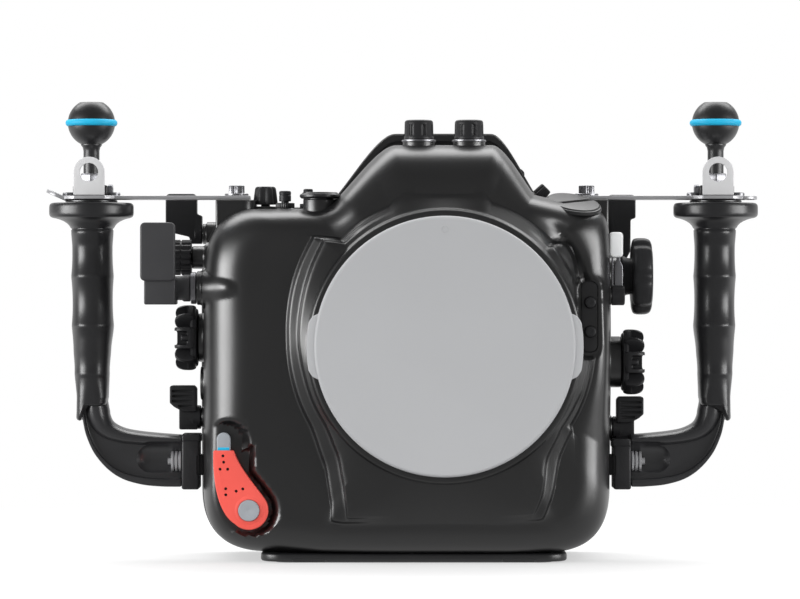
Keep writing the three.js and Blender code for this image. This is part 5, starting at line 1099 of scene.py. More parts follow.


# ---- bulkhead caps on the hump, slotted for grip, over steel rings that stand in for the bright highlight on each boss's fillet (a painted highlight)
def buildBulkheadCaps():
    b = bulkheads
    low, high, y = b["low"], b["high"], b["y"]
    for which, x in zip(("Left", "Right"), b["places"]):
        body = turned("z", [(0, b["stemLow"]), (5, b["stemLow"]), (5, low), (7.6, low), (7.98, low + 0.4),
                            (7.98, low + 1.2), (7.8, low + 1.5), (7.6, high - 1.2), (7.25, high - 0.5),
                            (6.6, high - 0.1), (5.9, high), (5.6, high - 0.5), (0, high - 0.5)], at=(x, y, 0),
                      sides=96)
        slot = fuse(block((x - 0.55, x + 0.55), (y - 9, y - 6.7), (low + 2.2, high - 2.6), edge=0.4),
                    block((x - 1.5, x + 1.5), (y - 9, y - 7.2), (low + 1.9, high - 2.2), edge=0.4))
        slots = [copyOf(slot, turnAbout((x, y, 0), "Z", b["slotTurn"] + 360 / b["slots"] * i))
                 for i in range(b["slots"])]
        bpy.data.objects.remove(slot, do_unlink=True)
        carve(body, gather(*slots))
        finishPiece(body, "bulkheadCap" + which, look["nylon"], "bulkhead_cap_" + which.lower(), angle=30)
        # This steel ring is no real washer: it paints the bright highlight on the boss's fillet under the cap
        washer = turned("z", [(6, low - 1.1), (8.9, low - 1.1), (9.15, low - 0.8), (9.15, low - 0.3),
                              (8.9, low - 0.08), (6, low - 0.08), (6, low - 1.1)], at=(x, y, 0), sides=96)
        finishFitting(washer, "bulkheadCap" + which + "Washer")


buildBulkheadCaps()
print("caps and plugs")


# ---- small controls on top
# A tapered knob with finger lobes, at the origin
def lobedKnob(radius, top, low, high, count, depth, shaft, shaftLow, rounded=1.0):
    rings = []
    for t in (0, 0.04, 0.12, 0.5, 0.86, 0.95, 1):
        inset = {0: 0.35, 0.04: 0.08, 0.86: 0.08, 0.95: 0.35, 1: 1}.get(t, 0)
        r = radius + (top - radius) * t - rounded * inset
        z = low + (high - low) * t
        rings.append([(u, v, z) for u, v in wavyOutline(r, depth * (1 if 0.03 < t < 0.97 else 0.8), count,
                                                        steps=12, power=0.6)])
    knob = skin(rings)
    return fuse(knob, bar("z", shaft, shaftLow, low + 1, sides=24))


dial = moved(lobedKnob(6.7, 5.6, 190.7, 200.3, 6, 1.3, 2.4, 180.3), shift(*topBosses["dial"][:2], 0))
finishPiece(dial, "topDial", look["nylon"], "top_dial", angle=35)


def pushButton(radius, height, shaft, sunk):
    return turned("z", [(0, -sunk), (shaft, -sunk), (shaft, 0), (radius - 0.2, 0), (radius, 0.25),
                        (radius, height * 0.52), (radius - 0.16, height * 0.56), (radius - 0.16, height * 0.64),
                        (radius, height * 0.68), (radius, height - 0.7), (radius - 0.25, height - 0.2),
                        (radius - 0.8, height), (radius * 0.5, height - 0.12), (0, height - 0.2)], sides=48)


# name, radius and height of the cap, where it rests, radius of the knurled collar
topButtons = {"Front": (3.2, 5.6, 192.2, 5.1), "Rear": (2.6, 7.2, 192.2, 4.5)}
for which, (radius, height, rest, _) in topButtons.items():
    x, y = topBosses["button" + which][:2]
    cap = moved(pushButton(radius, height, 2, 10.4), shift(x, y, rest))
    finishPiece(cap, "topButton" + which, look["nylon"], "top_button_" + which.lower(), angle=30)
for which, (_, _, rest, collarRadius) in topButtons.items():
    x, y = topBosses["button" + which][:2]
    collar = carve(plate("z", wavyOutline(collarRadius, 0.28, 30, (x, y), 6), rest - 3.6, rest - 0.9, edge=0.12,
                         segments=2), bar("z", collarRadius - 1.6, rest - 5, rest + 1, at=(x, y, 0), sides=32))
    finishPiece(collar, "bezel" + which, look["anodisedFine"], body="housing")
slopeKnob = lobedKnob(3.7, 3.4, 0.4, 6.7, 10, 0.5, 1.7, -8, 0.4)
finishPiece(onSlope(slopeKnob), "slopeButton", look["nylon"], "slope_button", angle=30)
print("top controls")


# ---- side controls
def faceOf(name):
    side, y, z, _, reach, _ = sideBosses[name]
    return side, y, z, reach + 0.3


controlKnob = {"fingers": 6, "width": 11.4, "rib": 1.9, "plate": 15.6, "base": 3.4, "hub": 6.2,
               "hubHeight": 8.4, "finger": [(6.4, 6.4), (8.2, 9.6), (10.6, 11.4), (13.2, 11.9), (15.6, 10.9),
                                            (17, 8.2), (17.3, 5), (17.1, 2.4), (16.2, 1.2)]}


def buildControlKnob(name, node, boss):
    k = controlKnob
    side, y, z, face = faceOf(boss)
    wall = wallOf(side)
    body = sideTurned(side, y, z,
                      [(0, face - 13.6), (3, face - 13.6), (3, face), (15, face), (k["plate"], face + 0.5),
                       (k["plate"] + 0.2, face + 2.2), (14.8, face + k["base"]), (11, face + 3.7),
                       (0, face + 3.7)], 80)
    hub = sideTurned(side, y, z,
                     [(0, face + 2), (k["hub"], face + 2), (k["hub"] - 0.3, face + k["hubHeight"] - 1.2),
                      (k["hub"] - 1.4, face + k["hubHeight"]), (2, face + k["hubHeight"] - 0.4),
                      (0, face + k["hubHeight"] - 0.4)], 48)

    def fingerPlate(grow, low, high, edge):
        line = smoothLine([(wall + side * (face + u - grow), z + r - grow) for r, u in k["finger"]], 3, False)
        foot = [(wall + side * (face + 1.2), z + 14 - grow), (wall + side * (face + 1.2), z + 5),
                (wall + side * (face + 5), z + 5)]
        return plate("y", line + foot, y + low, y + high, edge=edge, segments=4, angle=50)

    finger = fingerPlate(0, -k["width"] / 2, k["width"] / 2, 0.9)
    # The pocket opens outwards and upwards and leaves a rib at each side
    inner = k["width"] / 2 - k["rib"]
    ends = sorted((wall + side * (face + 4.6), wall + side * (face + 20)))
    pocket = block(ends, (y - inner, y + inner), (z + 9.4, z + 30), edge=1.2)
    carve(finger, pocket)
    nub = softenEdges(plate("x", roundedOutline(3.4, 5.6, 1.5, (y, z + 12.2), 5),
                            *sorted((wall + side * (face + 3), wall + side * (face + 8.4)))), 0.9, 3, 50)
    fuse(finger, nub)
    fingers = [copyOf(finger, turnAbout((0, y, z), "X", 90 + 360 / k["fingers"] * i))
               for i in range(k["fingers"])]
    bpy.data.objects.remove(finger, do_unlink=True)
    fuse(body, hub, *fingers)
    finishPiece(body, name, look["nylon"], node, angle=40)


buildControlKnob("controlKnobLeft", "control_knob_left", "leftKnob")
buildControlKnob("controlKnobRight", "control_knob_right", "rightKnob")

focusWheel = {"radius": 20.6, "thickness": 11.2, "collar": 11.2, "collarLength": 5.2, "dish": 1.6, "scoops": 6,
              "scoop": 2.0}


def buildFocusKnob():
    w = focusWheel
    side, y, z, face = faceOf("focus")
    start = face + w["collarLength"]
    section = [(3.4, 0.5), (0.9, 1.3), (0.1, 3.2), (0, 5.4), (0, w["thickness"] - 5.2),
               (0.2, w["thickness"] - 3), (1.2, w["thickness"] - 1), (3.8, w["thickness"]),
               (7, w["thickness"] - 0.1)]
    rings = []
    for inset, out in smoothLine(section, 4, False):
        line = []
        for i in range(120):
            a = math.tau * i / 120
            dip = max(0.0, math.cos(w["scoops"] * (a - math.pi))) ** 2.2
            r = w["radius"] - inset - w["scoop"] * dip * ease(1 - inset / 6)
            line.append((wallOf(side) + side * (start + out), y + r * math.cos(a), z + r * math.sin(a)))
        rings.append(line)
    body = skin(rings)
    collar = sideTurned(side, y, z, [(0, face - 24.6), (3, face - 24.6), (3, face), (w["collar"] - 0.8, face),
                                     (w["collar"], face + 0.6), (w["collar"] - 1.2, face + 3.2),
                                     (w["collar"] - 1.6, start + 1), (w["collar"], start + 2.4),
                                     (0, start + 2.4)], 80)
    dish = sideTurned(side, y, z,
                      [(0, start + w["thickness"] - w["dish"]), (9, start + w["thickness"] - w["dish"]),
                       (12.4, start + w["thickness"] - 0.4), (13, start + w["thickness"] + 2),
                       (0, start + w["thickness"] + 2)], 80)
    fuse(body, collar)
    carve(body, dish)
    fuse(body, sideTurned(side, y, z, [(0, start + 3), (4.4, start + 3), (4.4, start + w["thickness"] - 1),
                                       (3.8, start + w["thickness"] - 0.4), (0, start + w["thickness"] - 0.4)],
                          48))
    finishPiece(body, "focusKnob", look["nylon"], "focus_knob", angle=35)


buildFocusKnob()


commandDial = {"radius": 9.7, "teeth": 18, "thickness": 11}


def buildCommandDial():
    side, y, z, face = faceOf("commandDial")
    x0, x1 = sorted((wallOf(side) + side * face, wallOf(side) + side * (face + commandDial["thickness"])))
    body = plate("x", wavyOutline(commandDial["radius"], 0.9, commandDial["teeth"], (y, z), 10, 0.7), x0, x1,
                 edge=0.7)
    fuse(body, sideTurned(side, y, z, [(0, face - 17.7), (3, face - 17.7), (3, face + 1), (0, face + 1)], 24))
    carve(body, sideTurned(side, y, z, [(9, face + 5.1), (12, face + 5.1), (12, face + 6), (9, face + 6),
                                        (9, face + 5.1)], 64))
    carve(body, sideTurned(side, y, z, [(0, face + 10.2), (5.5, face + 10.2), (6.3, face + 12), (0, face + 12)],
                           48))
    finishPiece(body, "commandDial", look["nylon"], "command_dial", angle=35)


buildCommandDial()

shutter = {"armFront": -42, "armBack": -15, "armX": (-137.4, -121), "armZ": (136.9, 151), "paddleLeft": -139.4,
           "paddleRight": -120.9, "paddleTop": 180.4, "paddleLow": 149.4, "paddleDepth": 4.6,
           "ribX": (-135.4, -129.4), "bore": 3.6, "bush": 8.5, "bushDepth": 2.8, "hub": 7.2, "hubDepth": 9.6}


def buildShutter():
    s = shutter
    side, y, z, face = faceOf("shutter")
    bore, wide, deep = s["bore"], s["bush"], s["bushDepth"]
    bush = sideTurned(side, y, z,
                      [(bore, face), (wide - 0.3, face), (wide, face + 0.3), (wide, face + deep - 0.4),
                       (wide - 0.3, face + deep), (bore, face + deep), (bore, face)], 80)
    notch = bar("y", 0.75, y - 12, y - 7.6, at=(wallOf(side) - face - deep / 2, 0, z), sides=20)
    finishPiece(carve(bush, notch), "shutterBush", look["steelTurned"], "shutter_bush")
    start, hubRadius = face + deep + 0.3, s["hub"]
    hub = sideTurned(side, y, z, [(0, -10.2), (3, -10.2), (3, start), (hubRadius - 0.3, start),
                                  (hubRadius, start + 0.4), (hubRadius, start + 3.4),
                                  (hubRadius - 0.7, start + 4.6), (hubRadius - 0.8, start + 8),
                                  (hubRadius - 0.2, start + s["hubDepth"]), (0, start + s["hubDepth"])], 64)
    front, low, top = s["armFront"], s["paddleLow"], s["paddleTop"]
    arm = block(s["armX"], (front + 2, s["armBack"]), s["armZ"], edge=0.9)
    middle = ((s["paddleLeft"] + s["paddleRight"]) / 2, (top + low) / 2)
    paddle = plate("y", roundedOutline(s["paddleRight"] - s["paddleLeft"], top - low, 2.6, middle, 6), front,
                   front + s["paddleDepth"], edge=1.1, segments=4)
    rib = plate("x", [(front + 3, 149), (front + 3, 172), (front + 6, 168), (s["armBack"] - 12, 149)],
                *s["ribX"], edge=0.8)
    body = fuse(arm, paddle, rib, hub)
    finishPiece(body, "shutterLever", look["leverGrey"], "shutter_lever", angle=35)


buildShutter()


thumbOutlines = {
    "left": [(3.4, -5.4), (9.6, -5.4), (10.4, -1.6), (22.3, 1.2), (23.3, 2.4), (23.3, 20.6), (21.9, 22),
             (7.6, 22), (6.2, 20.6), (6.2, 11), (3.4, 10)],
    # The right one has a step outwards at its upper end
    "right": [(3.2, -5.4), (9, -5.4), (10.4, -3.4), (12.2, -2), (14.4, 2), (14.5, 19.4), (17.2, 20.2),
              (17.2, 31.6), (15.8, 33), (3.2, 33), (1.8, 31.6), (1.8, 6.4), (3.2, 5.4)],
}
thumbHub = [(0, -9), (3, -9), (3, 3.4), (5, 3.4), (5.4, 3.8), (5.4, 7), (4.8, 7.6), (0, 7.6)]


def buildThumb(which, side):
    y, z, half = thumbAxis["y"], thumbAxis[which], 4.6
    outline = [(wallOf(side) + side * u, z + v) for u, v in thumbOutlines[which]]
    body = plate("y", outline, y - half, y + half, edge=0.9, segments=3)
    fuse(body, sideTurned(side, y, z, thumbHub, 48))
    finishPiece(body, "thumb" + which.title(), look["nylon"], "thumb_lever_" + which, angle=35)


buildThumb("left", -1)
buildThumb("right", 1)


# The hub and a steel blade with a pale pad; outlines hold x and z
lensLever = {
    "hub": 5, "hubDepth": 7, "seat": ((110.9, 117.7), (-27.6, -20.4), (136.7, 147)),
    "blade": [(112.6, 146), (116.9, 146), (116.9, 157.4), (115.6, 160), (115.6, 164), (113.6, 164),
              (113.6, 160), (112.6, 157.4)], "bladeY": (-25.8, -22.2),
    "spring": [(111, 146), (111.9, 146), (111.9, 164), (111, 164)], "springY": (-25.2, -22.8),
    "pad": (7.2, 13.4, 1.9), "padAt": (113.3, 168.8), "padY": (-28.2, -19.8),
}


def buildLensLever():
    s = lensLever
    side, y, z, face = faceOf("lensLever")
    wide, end = s["hub"], face + s["hubDepth"]
    hub = sideTurned(side, y, z, [(0, -10), (2.6, -10), (2.6, face), (wide - 0.3, face), (wide, face + 0.4),
                                  (wide, end - 0.6), (wide - 0.6, end), (0, end)], 48)
    finishPiece(fuse(hub, block(*s["seat"], edge=0.7)), "lensLeverHub", look["nylon"], "lens_lever")
    blade = fuse(plate("y", s["blade"], *s["bladeY"], edge=0.35),
                 plate("y", s["spring"], *s["springY"], edge=0.2))
    finishPiece(blade, "lensLeverBlade", look["steelTurned"], body="lens_lever")
    pad = plate("y", roundedOutline(*s["pad"], s["padAt"], 6), *s["padY"], edge=1.1, segments=4)
    finishPiece(pad, "lensLeverPad", look["padGrey"], body="lens_lever")


buildLensLever()
print("side controls")

latchSizes = {"ribs": 4, "pitch": 2.7, "groove": 1.4, "firstRib": 5.4}


def buildLatch(name, node, boss):
    sizes = latchSizes
    side, y, z, face = faceOf(boss)
    wall = wallOf(side)

    def at(u, v):
        return wall + side * (face + u), z + v

    thumb = plate("y", [at(2.2, 3), at(9.4, 3), at(14.2, 5.6), at(16.6, 7.8), at(16.6, 16.4), at(15.8, 17.2),
                        at(3.6, 17.2), at(2.2, 15.6)], y - 6.8, y + 5.2, edge=0.8, segments=3)
    stem = plate("y", [at(1.8, -6.6), at(11, -6.6), at(11.6, -6), at(11.6, 6), at(2.2, 6), at(1.4, 4)], y - 5.4,
                 y + 5.4, edge=0.7, segments=3)
    hub = sideTurned(side, y, z, [(0, -10), (3, -10), (3, face), (6, face), (6.4, face + 0.4), (6.4, face + 4),
                                  (0, face + 4)], 48)
    claw = plate("y", [at(0.2, -4), at(4.6, -4), at(4.6, 4), at(0.2, 4)], y + 3, 25.9, edge=0.8, segments=3)
    body = fuse(thumb, stem, hub, claw)
    carve(body, bar("x", 3.1, *sorted((at(-4, 0)[0], at(3.4, 0)[0])), at=(0, pinY, z), sides=32))
    cuts = []
    for i in range(sizes["ribs"]):
        x0, x1 = sorted((at(4.2, 0)[0], at(15.4 if i else 12, 0)[0]))
        low = z + sizes["firstRib"] + sizes["pitch"] * i
        cuts.append(block((x0, x1), (y - 9, y - 5.1), (low, low + sizes["groove"]), edge=0.3, segments=2))
    carve(body, gather(*cuts))
    finishPiece(body, name, look["nylon"], node, angle=35)


buildLatch("latchLeft", "latch_left", "leftLatch")
buildLatch("latchRight", "latch_right", "rightLatch")
print("latches")


# ---- handles: channelled arms, brackets, stacked bolts, rubber grips
handle = {"axis": 168, "y": -6, "armFront": -16, "armBack": 4, "rod": 6, "headLow": 191.8, "headTop": 193,
          "headRadius": 14, "web": 3.2, "channel": 10, "channelZ": 54.2, "channelEnd": 135.8}
# x, z and half width of the upper tube
armTube = [(165.6, 96, 5.2), (165.6, 90, 5.8), (165.5, 84, 6.6), (165, 79, 7), (163.7, 74.8, 6.6),
           (161, 70.8, 6), (156.8, 68, 5.3), (150.6, 66, 4.6), (143, 64.9, 4.2), (133, 64.1, 3.9),
           (124, 63.7, 3.6)]
armOutline = [(132, 66.4), (141, 67), (150, 69), (157, 73), (162, 80), (164, 88), (172.2, 88), (172.4, 80),
              (171.6, 73.2), (169.8, 66), (165.6, 57), (158.6, 48.8), (150.4, 43.4), (140, 40.4), (130, 39.4)]


def buildHandle(side, startX):
    h = handle
    tag = sideName[side]
    line = smoothLine([(startX, 66), (startX + 4, 66)] + armOutline + [(startX + 4, 39.25), (startX, 39.25)], 5,
                      False)
    line = [(side * x, z) for x, z in line]
    body = plate("y", line, h["armFront"], h["armBack"], edge=1.1, segments=3, angle=50)
    inner = smoothLine([(startX - 6, 72), (130, 73), (150, 76), (163, 84), (171.3, 84), (170.6, 74),
                        (168.4, 66.4), (164.2, 58), (157.2, 50.6), (149.2, 46.2), (139, 43.9), (130, 43.2),
                        (startX - 6, 43.1)], 6, False)
    inner = [(side * x, z) for x, z in inner]
    front = plate("y", inner, h["armFront"] - 6, h["armFront"] + h["web"], edge=1.2, segments=3, angle=50)
    back = plate("y", inner, h["armBack"] - h["web"], h["armBack"] + 6, edge=1.2, segments=3, angle=50)
    carve(body, front, back)
    softenEdges(body, 0.45, 2, 60)
    path, rings = smoothLine(armTube, 4, False), []
    for i, (x, z, half) in enumerate(path):
        before, after = path[max(0, i - 1)], path[min(len(path) - 1, i + 1)]
        along = Vector((after[0] - before[0], after[1] - before[1])).normalized()
        across = (-along.y, along.x)
        points = []
        for k in range(40):
            a = math.tau * k / 40
            u = math.copysign(abs(math.cos(a)) ** (2 / 2.1), math.cos(a)) * half
            v = math.copysign(abs(math.sin(a)) ** (2 / 2.1), math.sin(a)) * 10
            points.append((side * (x + across[0] * u), h["y"] + v, z + across[1] * u))
        rings.append(points)
    tail = [(side * startX, y, path[-1][1] - 0.2 + (z - path[-1][1]) * 0.96) for x, y, z in rings[-1]]
    fuse(body, skin(rings + [tail]))
    # The channel's round end leaves a crescent in the web
    for y in (h["armFront"] - 3.4, h["armBack"] + 3.4):
        groove = bar("x", h["channel"], *span(side, startX - 8, h["channelEnd"]), at=(0, y, h["channelZ"]),
                     sides=48)
        deselect()
        bpy.ops.mesh.primitive_uv_sphere_add(segments=48, ring_count=24, radius=(h["channel"] - 0.02) * mm,
                                             location=Vector((side * h["channelEnd"], y, h["channelZ"])) * mm)
        carve(body, fuse(groove, settle(bpy.context.object)))
    rod = turned("z", [(0, 92), (h["rod"], 92), (h["rod"], h["headLow"]), (h["headRadius"] - 0.4, h["headLow"]),
                       (h["headRadius"], h["headLow"] + 0.3), (h["headRadius"], h["headTop"] - 0.3),
                       (h["headRadius"] - 0.4, h["headTop"]), (0, h["headTop"])],
                 at=(side * h["axis"], h["y"], 0), sides=56)
    fuse(body, rod)
    finishPiece(body, "handleCore" + tag, look["arm"], "handle_core_" + tag.lower(), angle=35)


# z, centre |x| and half width, straight down to where the rubber wraps the arm
gripTable = [(74.6, 167.6, 8.3), (80, 167.4, 8.3), (87, 167.2, 8.4), (100, 167.6, 9.4), (112, 167.5, 10.6),
             (123, 167.2, 11.2), (150, 167.4, 11.3), (177, 167.5, 11.3)]
gripSizes = {"frontDepth": 17.6, "backDepth": 13.6, "scoop": 2.9, "pitch": 26.4, "ridgeAt": 152, "crest": 0.8,
             "flange": 22.7, "top": 191.5, "square": 2.3}
# z and share of the flange that the grip has widened to
gripFlare = [(176.8, 0.0), (177.1, -0.03), (177.7, -0.03), (178, 0.02), (179.4, 0.09), (180.6, 0.19),
             (181.7, 0.34), (182.6, 0.52), (183.2, 0.7), (183.5, 0.83), (183.8, 0.9), (184.3, 0.955),
             (185.1, 0.99), (186.2, 1.0), (189.3, 1.0), (190.3, 0.985), (191, 0.945), (191.4, 0.89),
             (191.5, 0.85)]


def buildGrip(side):
    g, rings = gripSizes, []
    tag = sideName[side]

    def ringAt(z, centre, half, front, back, square):
        points = []
        for i in range(96):
            a = math.tau * i / 96
            c, s = math.cos(a), math.sin(a)
            u = math.copysign(abs(c) ** (2 / square), c) * half
            v = math.copysign(abs(s) ** (2 / square), s)
            # The lower end is short in front and runs down in a tongue outside
            drop = 8 * ease((z - 90) / -15.4) * (1 - ease((side * u / half - 0.35) / 0.5))
            points.append((side * centre + u, handle["y"] + v * (back if v > 0 else front), z + drop))
        return points

    def along(z):
        rows = gripTable
        for (z0, c0, h0), (z1, c1, h1) in zip(rows, rows[1:]):
            if z <= z1:
                t = max(0.0, (z - z0) / (z1 - z0))
                t = 0.5 * t + 0.5 * ease(t)
                return c0 + (c1 - c0) * t, h0 + (h1 - h0) * t
        return rows[-1][1:]

    low = gripTable[0][0]
    steps = [low, low + 0.25, low + 0.8, low + 1.7] + [low + 2.6 + i * 0.8 for i in range(125)]
    for z in [v for v in steps if v < 176.2]:
        centre, half = along(z)
        u = (z - g["ridgeAt"]) / g["pitch"]
        gap = (0.5 - abs(u - math.floor(u) - 0.5)) * g["pitch"]
        gap = math.sqrt(gap * gap + g["crest"] ** 2) - g["crest"]
        scoop = g["scoop"] * (1 - max(0.0, 1 - gap / (g["pitch"] / 2 - g["crest"])) ** 2.2) * ease((z - 96) / 6)
        scoop *= 1 - 0.75 * ease((z - 168) / 9)
        shrink = {low: 1.5, low + 0.25: 0.8, low + 0.8: 0.3}.get(z, 0)
        deep, grown = ease((z - 92) / 26), ease((98 - z) / 14)
        rings.append(ringAt(z, centre, half - shrink - 0.2 * scoop,
                            g["frontDepth"] - 5.4 * (1 - deep) - scoop - shrink,
                            g["backDepth"] - 2.4 * (1 - deep) - shrink, g["square"] + 1.3 * grown))
    centre, slim = gripTable[-1][1:]
    for z, t in gripFlare:
        half = slim + (g["flange"] - slim) * t
        front, back = [d + (g["flange"] - d) * t for d in (g["frontDepth"] - 0.7 * (1 - t), g["backDepth"])]
        rings.append(ringAt(z, centre + 0.5 * t, half, front, back,
                            g["square"] + (2 - g["square"]) * min(1, 1.6 * max(0, t))))
    body = skin(rings)
    cut = turned("z", [(0, g["top"] - 0.9), (17, g["top"] - 0.9), (17.6, g["top"] + 1), (0, g["top"] + 1)],
                 at=(side * handle["axis"], handle["y"], 0), sides=80)
    carve(body, cut)
    finishPiece(body, "grip" + tag, look["rubber"], "grip_" + tag.lower(), angle=40)


bracket = {"front": -17, "back": 5, "boltY": -11, "boltZ": 52.8, "screwY": 1.4, "screwInset": 4,
           "screwHead": 2.6, "lid": 3.4, "washers": 3, "washer": 5.4, "washerPitch": 2.0, "neck": 1.9}


def buildBracket(side, startX, endX, low, high):
    b, tag = bracket, sideName[side]
    body = block(span(side, startX, endX), (b["front"], b["back"]), (low, high), edge=1.2)
    pad = block(span(side, startX - 2.2, startX + 3), (-13, 1), (low + 7.5, low + 18.5), edge=0.6)
    lid = block(span(side, startX - 0.6, endX), (b["front"] + 1, b["back"] - 1), (high - 1.5, high + b["lid"]),
                edge=1)
    fuse(body, pad, lid)
    carve(body, block(span(side, startX - 4, startX + 1.4), (-19, -15.6), (low + 7.9, low + 18.3), edge=0.4))
    places = [(b["screwY"], low + b["screwInset"]), (b["screwY"], high - b["screwInset"])]
    head = [(0, -3), (b["screwHead"], -3), (b["screwHead"], -0.1), (2.2, 0), (1.4, 0), (1.3, -1.4), (0, -1.4)]
    screws = [turned("x", [(r, side * (endX + out)) for r, out in head], at=(0, y, z), sides=24)
              for y, z in places]
    carve(body, gather(*[bar("x", 2.75, *span(side, endX - 3.1, endX + 1), at=(0, y, z), sides=32)
                         for y, z in places]))
    finishFitting(gather(*screws), "bracketScrews" + tag, angle=30)
    finishPiece(body, "bracket" + tag, look["nylon"], "handle_bracket_" + tag.lower(), angle=35)
    # Washers and the bolt's neck between bracket and arm
    wide, line, u = b["washer"], [(0, endX - 4.6), (2.5, endX - 4.6), (2.5, endX), (3.6, endX)], endX + 0.3
    for i in range(b["washers"]):
        line += [(wide - 0.3, u), (wide, u + 0.25), (wide, u + 1.15), (wide - 0.3, u + 1.4), (3.4, u + 1.4)]
        u += b["washerPitch"]
        if i < b["washers"] - 1:
            line += [(3.4, u)]
    line += [(b["neck"], u - 2), (b["neck"], endX + 7.6), (0, endX + 7.6)]
    stack = turned("x", [(r, side * x) for r, x in line], at=(0, b["boltY"], b["boltZ"]), sides=56)
    finishPiece(stack, "armBolt" + tag, look["steel"], "arm_bolt_" + tag.lower(), angle=30)


for side, armStart in ((-1, 119.2), (1, 122.2)):
    buildHandle(side, armStart)
for side in (-1, 1):
    buildGrip(side)
buildBracket(-1, 109.5, 118.9, 37.8, 64.2)
buildBracket(1, 112.5, 121.9, 37.8, 61.4)
print("handles")


# ---- top strips, their screws, and the ball mounts
strip = {"inner": {-1: 82.4, 1: 91}, "low": 193.3, "top": 195.3, "front": -13.5, "back": 1.5, "neckX": 155.5,
         "padX": 16, "padY": 15, "lugHalf": 8.3, "lugCentre": 207.6, "lugFront": -23, "lugBack": -20.5,
         "lugHole": 4.95, "hole": 2.8, "eye": 7.3, "eyeRise": math.radians(24), "padScrews": (-12, 12)}


def buildStrip(side):
    p, tag, axis, y = strip, sideName[side], handle["axis"], handle["y"]
    pad = [(axis + p["padX"] * math.cos(a), y + p["padY"] * math.sin(a))
           for a in [math.radians(141 - 282 * i / 40) for i in range(41)]]
    inner = p["inner"][side]
    line = [(inner, p["back"]), (p["neckX"], p["back"])] + pad + [(p["neckX"], p["front"]), (inner, p["front"])]
    body = plate("z", [(side * u, v) for u, v in line], p["low"], p["top"], edge=0.35, angle=60)
    half = p["lugHalf"]
    lugLine = [(-half, p["top"] + 0.1), (half, p["top"] + 0.1)] + arc((0, p["lugCentre"]), half, 0, 180, 28)
    lug = plate("y", [(side * axis + u, v) for u, v in lugLine], p["lugFront"], p["lugBack"], edge=0.45,
                angle=50)
    fuse(body, block(span(side, axis - 8.2, axis + 8.2), (p["lugFront"] + 0.2, -16),
                     (p["low"] + 0.02, p["top"] - 0.1), edge=0.3))
    carve(lug, bar("y", p["lugHole"], -26, -18, at=(side * axis, 0, p["lugCentre"]), sides=64))
    finishFitting(lug, "stripLug" + tag, "steelLug", angle=30)
    holes = [bar("z", p["hole"], 190, 198, at=(ears[tag.lower()][1], y, 0), sides=32)]
    # The outer end turns up into an eye on the left, and stays flat on the right
    eye = p["eye"]
    if side < 0:
        curl = [(7 * math.cos(a), y + eye * math.sin(a))
                for a in [-math.pi / 2 + math.pi * i / 20 for i in range(21)]]
        tail = plate("z", [(-5, y - eye)] + curl + [(-5, y + eye)], -1, 1, edge=0.35, angle=60)
        carve(tail, bar("z", 3.6, -3, 3, at=(1.4, y, 0), sides=40))
        fuse(body, moved(tail, shift(-185.6, 0, 195.4) @ Matrix.Rotation(p["eyeRise"], 4, "Y")
                         @ Matrix.Rotation(math.pi, 4, "Z") @ shift(0, -2 * y, 0)))
    else:
        outline = [(178, y - eye)] + arc((183, y), eye, -90, 90, 20) + [(178, y + eye)]
        fuse(body, plate("z", outline, p["low"], p["top"] - 0.1, edge=0.35, angle=60))
        holes.append(bar("z", 2.9, 190, 198, at=(186, y, 0), sides=32))
    carve(body, gather(*holes))
    finishPiece(body, "topStrip" + tag, look["steel"], "top_strip_" + tag.lower(), angle=30)
    head = [(0, 195.2), (3.6, 195.2), (3.6, 196.6), (3.1, 197.2), (1.7, 197.2), (1.6, 196.2), (0, 196.2)]
    low = [turned("z", head, at=(side * axis + u, y, 0), sides=32) for u in p["padScrews"]]
    finishFitting(gather(*low), "padScrews" + tag, angle=30)


def buildStripScrew(side):
    tag, y = sideName[side], handle["y"]
    x = ears[tag.lower()][1]
    shank = [(0, 184.3), (2.4, 184.3), (2.4, 195.4), (6.1, 195.4), (6.4, 195.6), (6.4, 196.3), (6.1, 196.6),
             (0, 196.6)]
    washer = turned("z", shank, at=(x, y, 0), sides=56)
    head = plate("z", wavyOutline(4.2, 0.3, 22, (x, y), 6), 196.2, 200.9, edge=0.35, angle=50)
    carve(head, bar("z", 2.0, 198.4, 203, at=(x, y, 0), sides=6))
    finishPiece(fuse(washer, head), "stripScrew" + tag, look["steelTurned"], "strip_screw_" + tag.lower(),
                angle=30)


ballMount = {"radius": 12.7, "centre": 234.6, "top": 245.7, "neck": 4.3, "groove": 1.9, "grooveRadius": 11.2,
             "seal": 12.3, "sealSection": 1.65, "foot": 9.25, "footLow": 195.6, "footTop": 200.9, "socket": 5,
             "nut": 6.2, "pinZ": 198.4}


